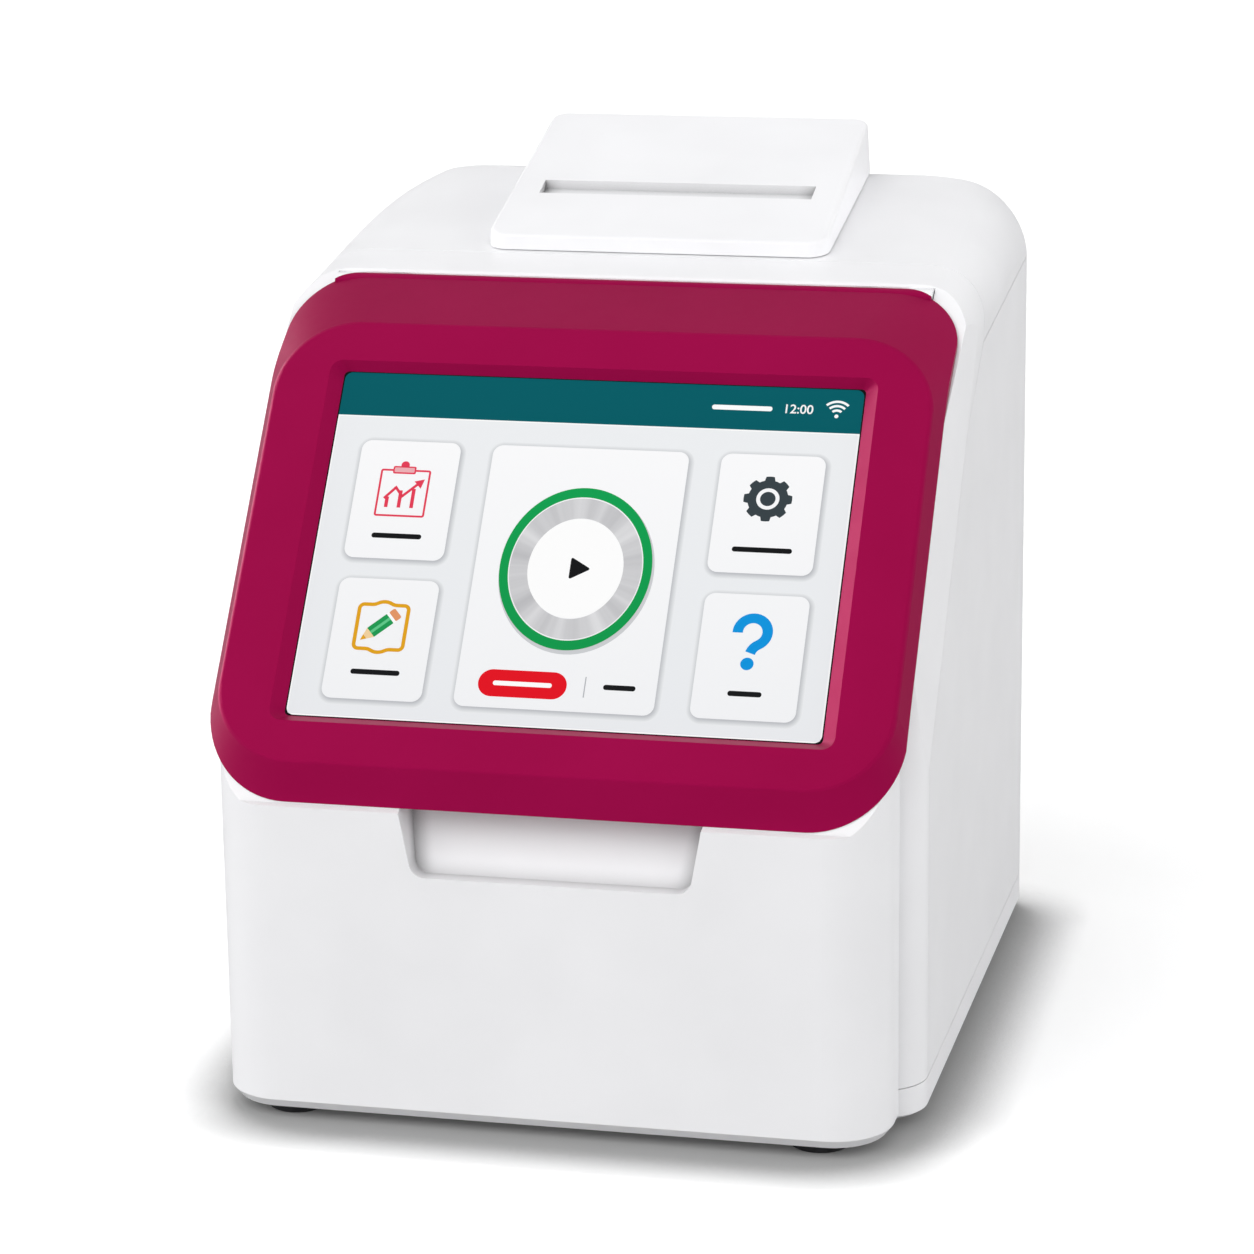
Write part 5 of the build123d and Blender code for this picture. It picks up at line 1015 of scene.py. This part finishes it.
def screen_inks() -> Inks:
    """Make the inks of the screen's picture, by name."""
    lit = [ScreenInk(*row) for row in (
        ("ground", "#eff1f3", "#eaecef"),
        ("teal", "#005e67", "#004e57"),
        ("header_white", "#ffffff", "#fdfdfd"),
        ("card", "#fdfdfe", "#f2f3f5"),
        ("ink", "#151618", "#1a1b1d"),
        ("green", "#10a554", "#0c9449"),
        ("red", "#ee1224", "#e20f20"),
        ("red_line", "#e6405a", "#e03550"),
        ("clip", "#f0b9be", "#e39aa2"),
        ("orange", "#e6a81e", "#dfa01a"),
        ("rubber", "#e89c6c", "#e09262"),
        ("pencil", "#23a15a", "#1d964f"),
        ("pencil_light", "#6ccf93", "#5cc586"),
        ("wood", "#f6d9ac", "#f0ce98"),
        ("slate", "#3c464b", "#353e43"),
        ("blue", "#0c9ce2", "#0890dc"),
        ("divider", "#b8babf", "#b0b2b7"),
        ("shadow_flat", "#cfd1d4", "#cbcdd0"),
    )]
    shadow = ShadowInk("shadow", "#b4b6bb", "#eceef0")
    metal = BrushedRingInk("ring_metal", "#bcbcbf", "#dedee0", RING_MIDDLE)
    return {ink.name: ink.material() for ink in (*lit, shadow, metal)}


@dataclass
class ScreenPicture:
    """What the touch screen shows: a header, five cards and their plain icons."""

    parts: tuple[type[Layer], ...] = (
        Header, Cards, StartRing, ChartIcon, NoteIcon, GearIcon, QueryIcon, Bars,
    )

    def build(self) -> None:
        """Build every piece of the picture."""
        inks = screen_inks()
        for part in self.parts:
            part(inks).build()


# ---- the carried-over pieces
@dataclass
class Finishes:
    """The finish of each kind of carried-over piece, and which pieces wear it."""

    wear: list[tuple[Finish, list[str]]] = field(default_factory=lambda: [
        (MouldedPlastic("white_abs", "#f1f1f3", "#f5f5f7", 0.40), [
            "base_tray", "front_shell", "front_frame", "side_panel_left", "side_panel_right",
            "top_shell", "rear_panel", "printer_cover", "hinge_caps",
        ]),
        (MouldedPlastic("crimson_abs", "#930c42", "#970d45", 0.34, grain=0.02, glint="#ff1288"), [
            "lid_shell",
        ]),
        (MouldedPlastic("charcoal_abs", "#2c2c30", "#323237", 0.5, grain=0.12), ["lid_liner"]),
        (MouldedPlastic("chamber_abs", "#4a4c50", "#53555a", 0.5, grain=0.12), [
            "inner_deck", "printer_well",
        ]),
        (MouldedPlastic("black_pbt", "#151517", "#1b1b1e", 0.46, grain=0.12), [
            "power_inlet", "fan_frame", "fan_rotor",
        ]),
        (MouldedPlastic("rocker_pc", "#121214", "#18181b", 0.25, coat=0.3), ["power_rocker"]),
        (MouldedPlastic("display_module", "#141416", "#1c1c1f", 0.4), ["display_panel"]),
        (Rubber("foot_rubber", "#17171a", "#222226"), [
            "foot_front_left", "foot_front_right", "foot_rear_left", "foot_rear_right",
        ]),
        (Rubber("seal_rubber", "#1c1c1f", "#26262a"), ["lid_seal", "platen_roller"]),
        (Rubber("heater_film", "#8a4a18", "#a05a20", 0.4), ["well_heater"]),
        (WorkedMetal("zinc_sheet", "#b8babf", "#c6c8cc", Brush.UPRIGHT, 0.42), [
            "chassis", "power_supply",
        ]),
        (WorkedMetal("turned_aluminium", "#c9cbcf", "#d6d8dc", Brush.TURNED, 0.3), [
            "rotor_well", "spindle_hub", "optics_module", "paper_spindle",
        ]),
        (WorkedMetal("brushed_steel", "#a9abaf", "#b6b8bc", Brush.LENGTHWISE, 0.35), [
            "spindle_motor", "print_head",
        ]),
        (WorkedMetal("plated_steel", "#b9bbbf", "#c8cacd", Brush.PLATED, 0.22), [
            "deck_posts", "board_posts", "cover_hinge_pins", "lid_hinge_pins", "catch_magnets",
            "catch_plates", "platen_shaft", "base_screws", "rear_screws", "lid_screws",
            "port_usb_low", "port_usb_high", "port_network",
        ]),
        (CircuitBoard("solder_mask", "#0c4a26", "#11602f"), ["main_board", "display_board"]),
        (ClearPlastic("clear_disc", "#e6eef4", "#dbe6ee", 0.75), ["reagent_disc"]),
        (Paperboard("thermal_paper", "#f2f2ef", "#e9e9e5"), ["paper_roll"]),
        (Paperboard("wound_card", "#a98a62", "#987a54"), ["roll_core"]),
        (ClearPlastic("black_glass", "#050506", "#09090b", 0.0, 0.06), ["touch_glass"]),
    ])

    def dress(self) -> None:
        """Give every carried-over piece its finish."""
        for finish, names in self.wear:
            material = finish.material()
            for name in names:
                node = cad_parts[name]
                node.data.materials.clear()
                node.data.materials.append(material)
                LOG.info("finish %s on %s", finish.name, name)


# ---- studio
@dataclass
class Studio:
    """Pale floor, soft light and the camera."""

    position: Triple = (302.52, -1270.25, 483.17)  # the camera's, in millimetres
    right: Triple = (0.97321492, 0.22952421, -0.01309035)
    up: Triple = (-0.04783116, 0.25784732, 0.96500101)
    forward: Triple = (-0.2248664, 0.93852725, -0.26191926)
    focal_px: float = 4154.07
    frame_px: float = 1254.0
    sensor: float = 36.0
    near: float = 0.05
    far: float = 100.0
    floor_size: float = 30.0
    key_from: Triple = (-0.35, -0.55, 0.76)
    key_angle: float = 50.0  # degrees across: a big soft box
    key_strength: float = 1.15
    horizon: float = 2.85  # level of the soft light from low down
    zenith: float = 0.0  # and from straight above
    flag_towards: Triple = (-0.15, -1.0, 0.0)  # dark flag behind the camera
    flag: float = 0.44
    strip_towards: Triple = (-0.93, 0.1, 0.35)  # strip light that only glosses see
    strip_edge: Pair = (0.83, 0.95)  # how nearly a ray points at it where it starts and is full
    strip: float = 4.8
    gloss: float = 0.12  # what glosses see elsewhere
    floor_bounce: float = 0.32  # how light the floor is to the part
    floor_lift: float = 0.08  # makes up for the light that the seen floor misses
    contact: float = 0.027  # reach of the contact shadow painted into the floor
    contact_from: float = 0.58  # openness of the floor where that shadow is at its darkest
    contact_dark: float = 0.35  # and how light the floor is there
    contact_lean: Triple = (-0.24, 0.38, 0.89)  # where the painted contact shadow looks

    def build(self) -> None:
        """Set up the camera, the floor, the world and the light."""
        self.camera()
        self.floor()
        self.world()
        self.key()
        bpy.context.scene.view_settings.view_transform = "Standard"

    def camera(self) -> None:
        """Put the camera at the fitted place and angle."""
        lens = bpy.data.cameras.new("camera")
        lens.sensor_width = self.sensor
        lens.lens = self.focal_px / self.frame_px * self.sensor
        lens.clip_start, lens.clip_end = self.near, self.far
        camera = bpy.data.objects.new("camera", lens)
        axes = Matrix((self.right, self.up, [-part for part in self.forward])).transposed()
        camera.matrix_world = Matrix.Translation(Vector(self.position) * MM) @ axes.to_4x4()
        bpy.context.scene.collection.objects.link(camera)
        bpy.context.scene.camera = camera

    def floor(self) -> None:
        """Lay the pale floor: white to the eye where nothing shades it, with a painted contact
        shadow.
        """
        ground = bmesh.new()
        bmesh.ops.create_grid(ground, x_segments=1, y_segments=1, size=self.floor_size / 2)
        mesh = bpy.data.meshes.new("floor")
        ground.to_mesh(mesh)
        ground.free()
        material = bpy.data.materials.new("studio_floor")
        material.use_nodes = True
        nodes = Nodes(material.node_tree)
        seen = self.seen(nodes)
        # painted contact shadow: occlusion round the part darkens the floor's colour and its glow
        lean = nodes.add("CombineXYZ", dict(zip("XYZ", self.contact_lean)))
        contact = nodes.add("AmbientOcclusion", {
            "Distance": self.contact, "Normal": lean.outputs["Vector"],
        }, samples=16)
        openness = contact.outputs["AO"]
        shade = nodes.span(openness, (self.contact_from, 1.0), (self.contact_dark, 1.0))
        matt = nodes.add("BsdfDiffuse", {"Color": nodes.choice(seen, self.floor_bounce, shade)})
        lift = nodes.math("MULTIPLY", nodes.math("MULTIPLY", seen, shade), self.floor_lift)
        lit = nodes.add("Emission", {"Color": linear("#ffffff"), "Strength": lift})
        both = nodes.add("AddShader", {0: matt.outputs["BSDF"], 1: lit.outputs["Emission"]})
        nodes.add("OutputMaterial", {"Surface": both.outputs["Shader"]})
        mesh.materials.append(material)
        plane = bpy.data.objects.new("floor", mesh)
        bpy.context.scene.collection.objects.link(plane)

    def seen(self, nodes: Nodes) -> Socket:
        """Socket that is 1 where the camera sees the surface, straight or through clear plastic."""
        path = nodes.add("LightPath").outputs
        return nodes.math("MAXIMUM", path["Is Camera Ray"], path["Is Transmission Ray"])

    def towards(self, nodes: Nodes, aim: Triple) -> Socket:
        """Socket with how nearly a ray of the surroundings points at `aim`, from 0 to 1."""
        direction = nodes.add("TexCoord").outputs["Generated"]
        return nodes.math("MAXIMUM", nodes.dot(direction, Vector(aim).normalized()), 0.0)

    def world(self) -> None:
        """White surroundings: full white where seen, a softer level as light."""
        world = bpy.data.worlds.new("studio")
        world.use_nodes = True
        nodes = Nodes(world.node_tree)
        height = self.towards(nodes, (0.0, 0.0, 1.0))
        soft = nodes.span(height, (0.0, 1.0), (self.horizon, self.zenith))
        flag = self.towards(nodes, self.flag_towards)
        even = nodes.math("MULTIPLY", soft, nodes.span(flag, (0.0, 1.0), (1.0, 1.0 - self.flag)))
        strip = nodes.span(
            self.towards(nodes, self.strip_towards), self.strip_edge, (self.gloss, self.strip),
            interpolation_type="SMOOTHSTEP",
        )
        glossy = nodes.add("LightPath").outputs["Is Glossy Ray"]
        level = nodes.choice(self.seen(nodes), nodes.choice(glossy, even, strip), 1.0)
        sky = nodes.add("Background", {"Color": linear("#ffffff"), "Strength": level})
        nodes.add("OutputWorld", {"Surface": sky.outputs["Background"]})
        bpy.context.scene.world = world
        world.cycles.sampling_method = "NONE"

    def key(self) -> None:
        """Light from the upper left, as even and soft as a big box far away."""
        light = bpy.data.lights.new("key", "SUN")
        light.energy = self.key_strength
        light.angle = math.radians(self.key_angle)
        lamp = bpy.data.objects.new("key", light)
        lamp.rotation_euler = (-Vector(self.key_from)).to_track_quat("-Z", "Y").to_euler()
        lamp.visible_glossy = False
        bpy.context.scene.collection.objects.link(lamp)


def main() -> None:
    """Dress the frame, draw the screen's picture and set up the studio."""
    logging.basicConfig(level=logging.INFO, format="%(name)s: %(message)s")
    Finishes().dress()
    ScreenPicture().build()
    Studio().build()


if __name__ == "__main__":
    main()
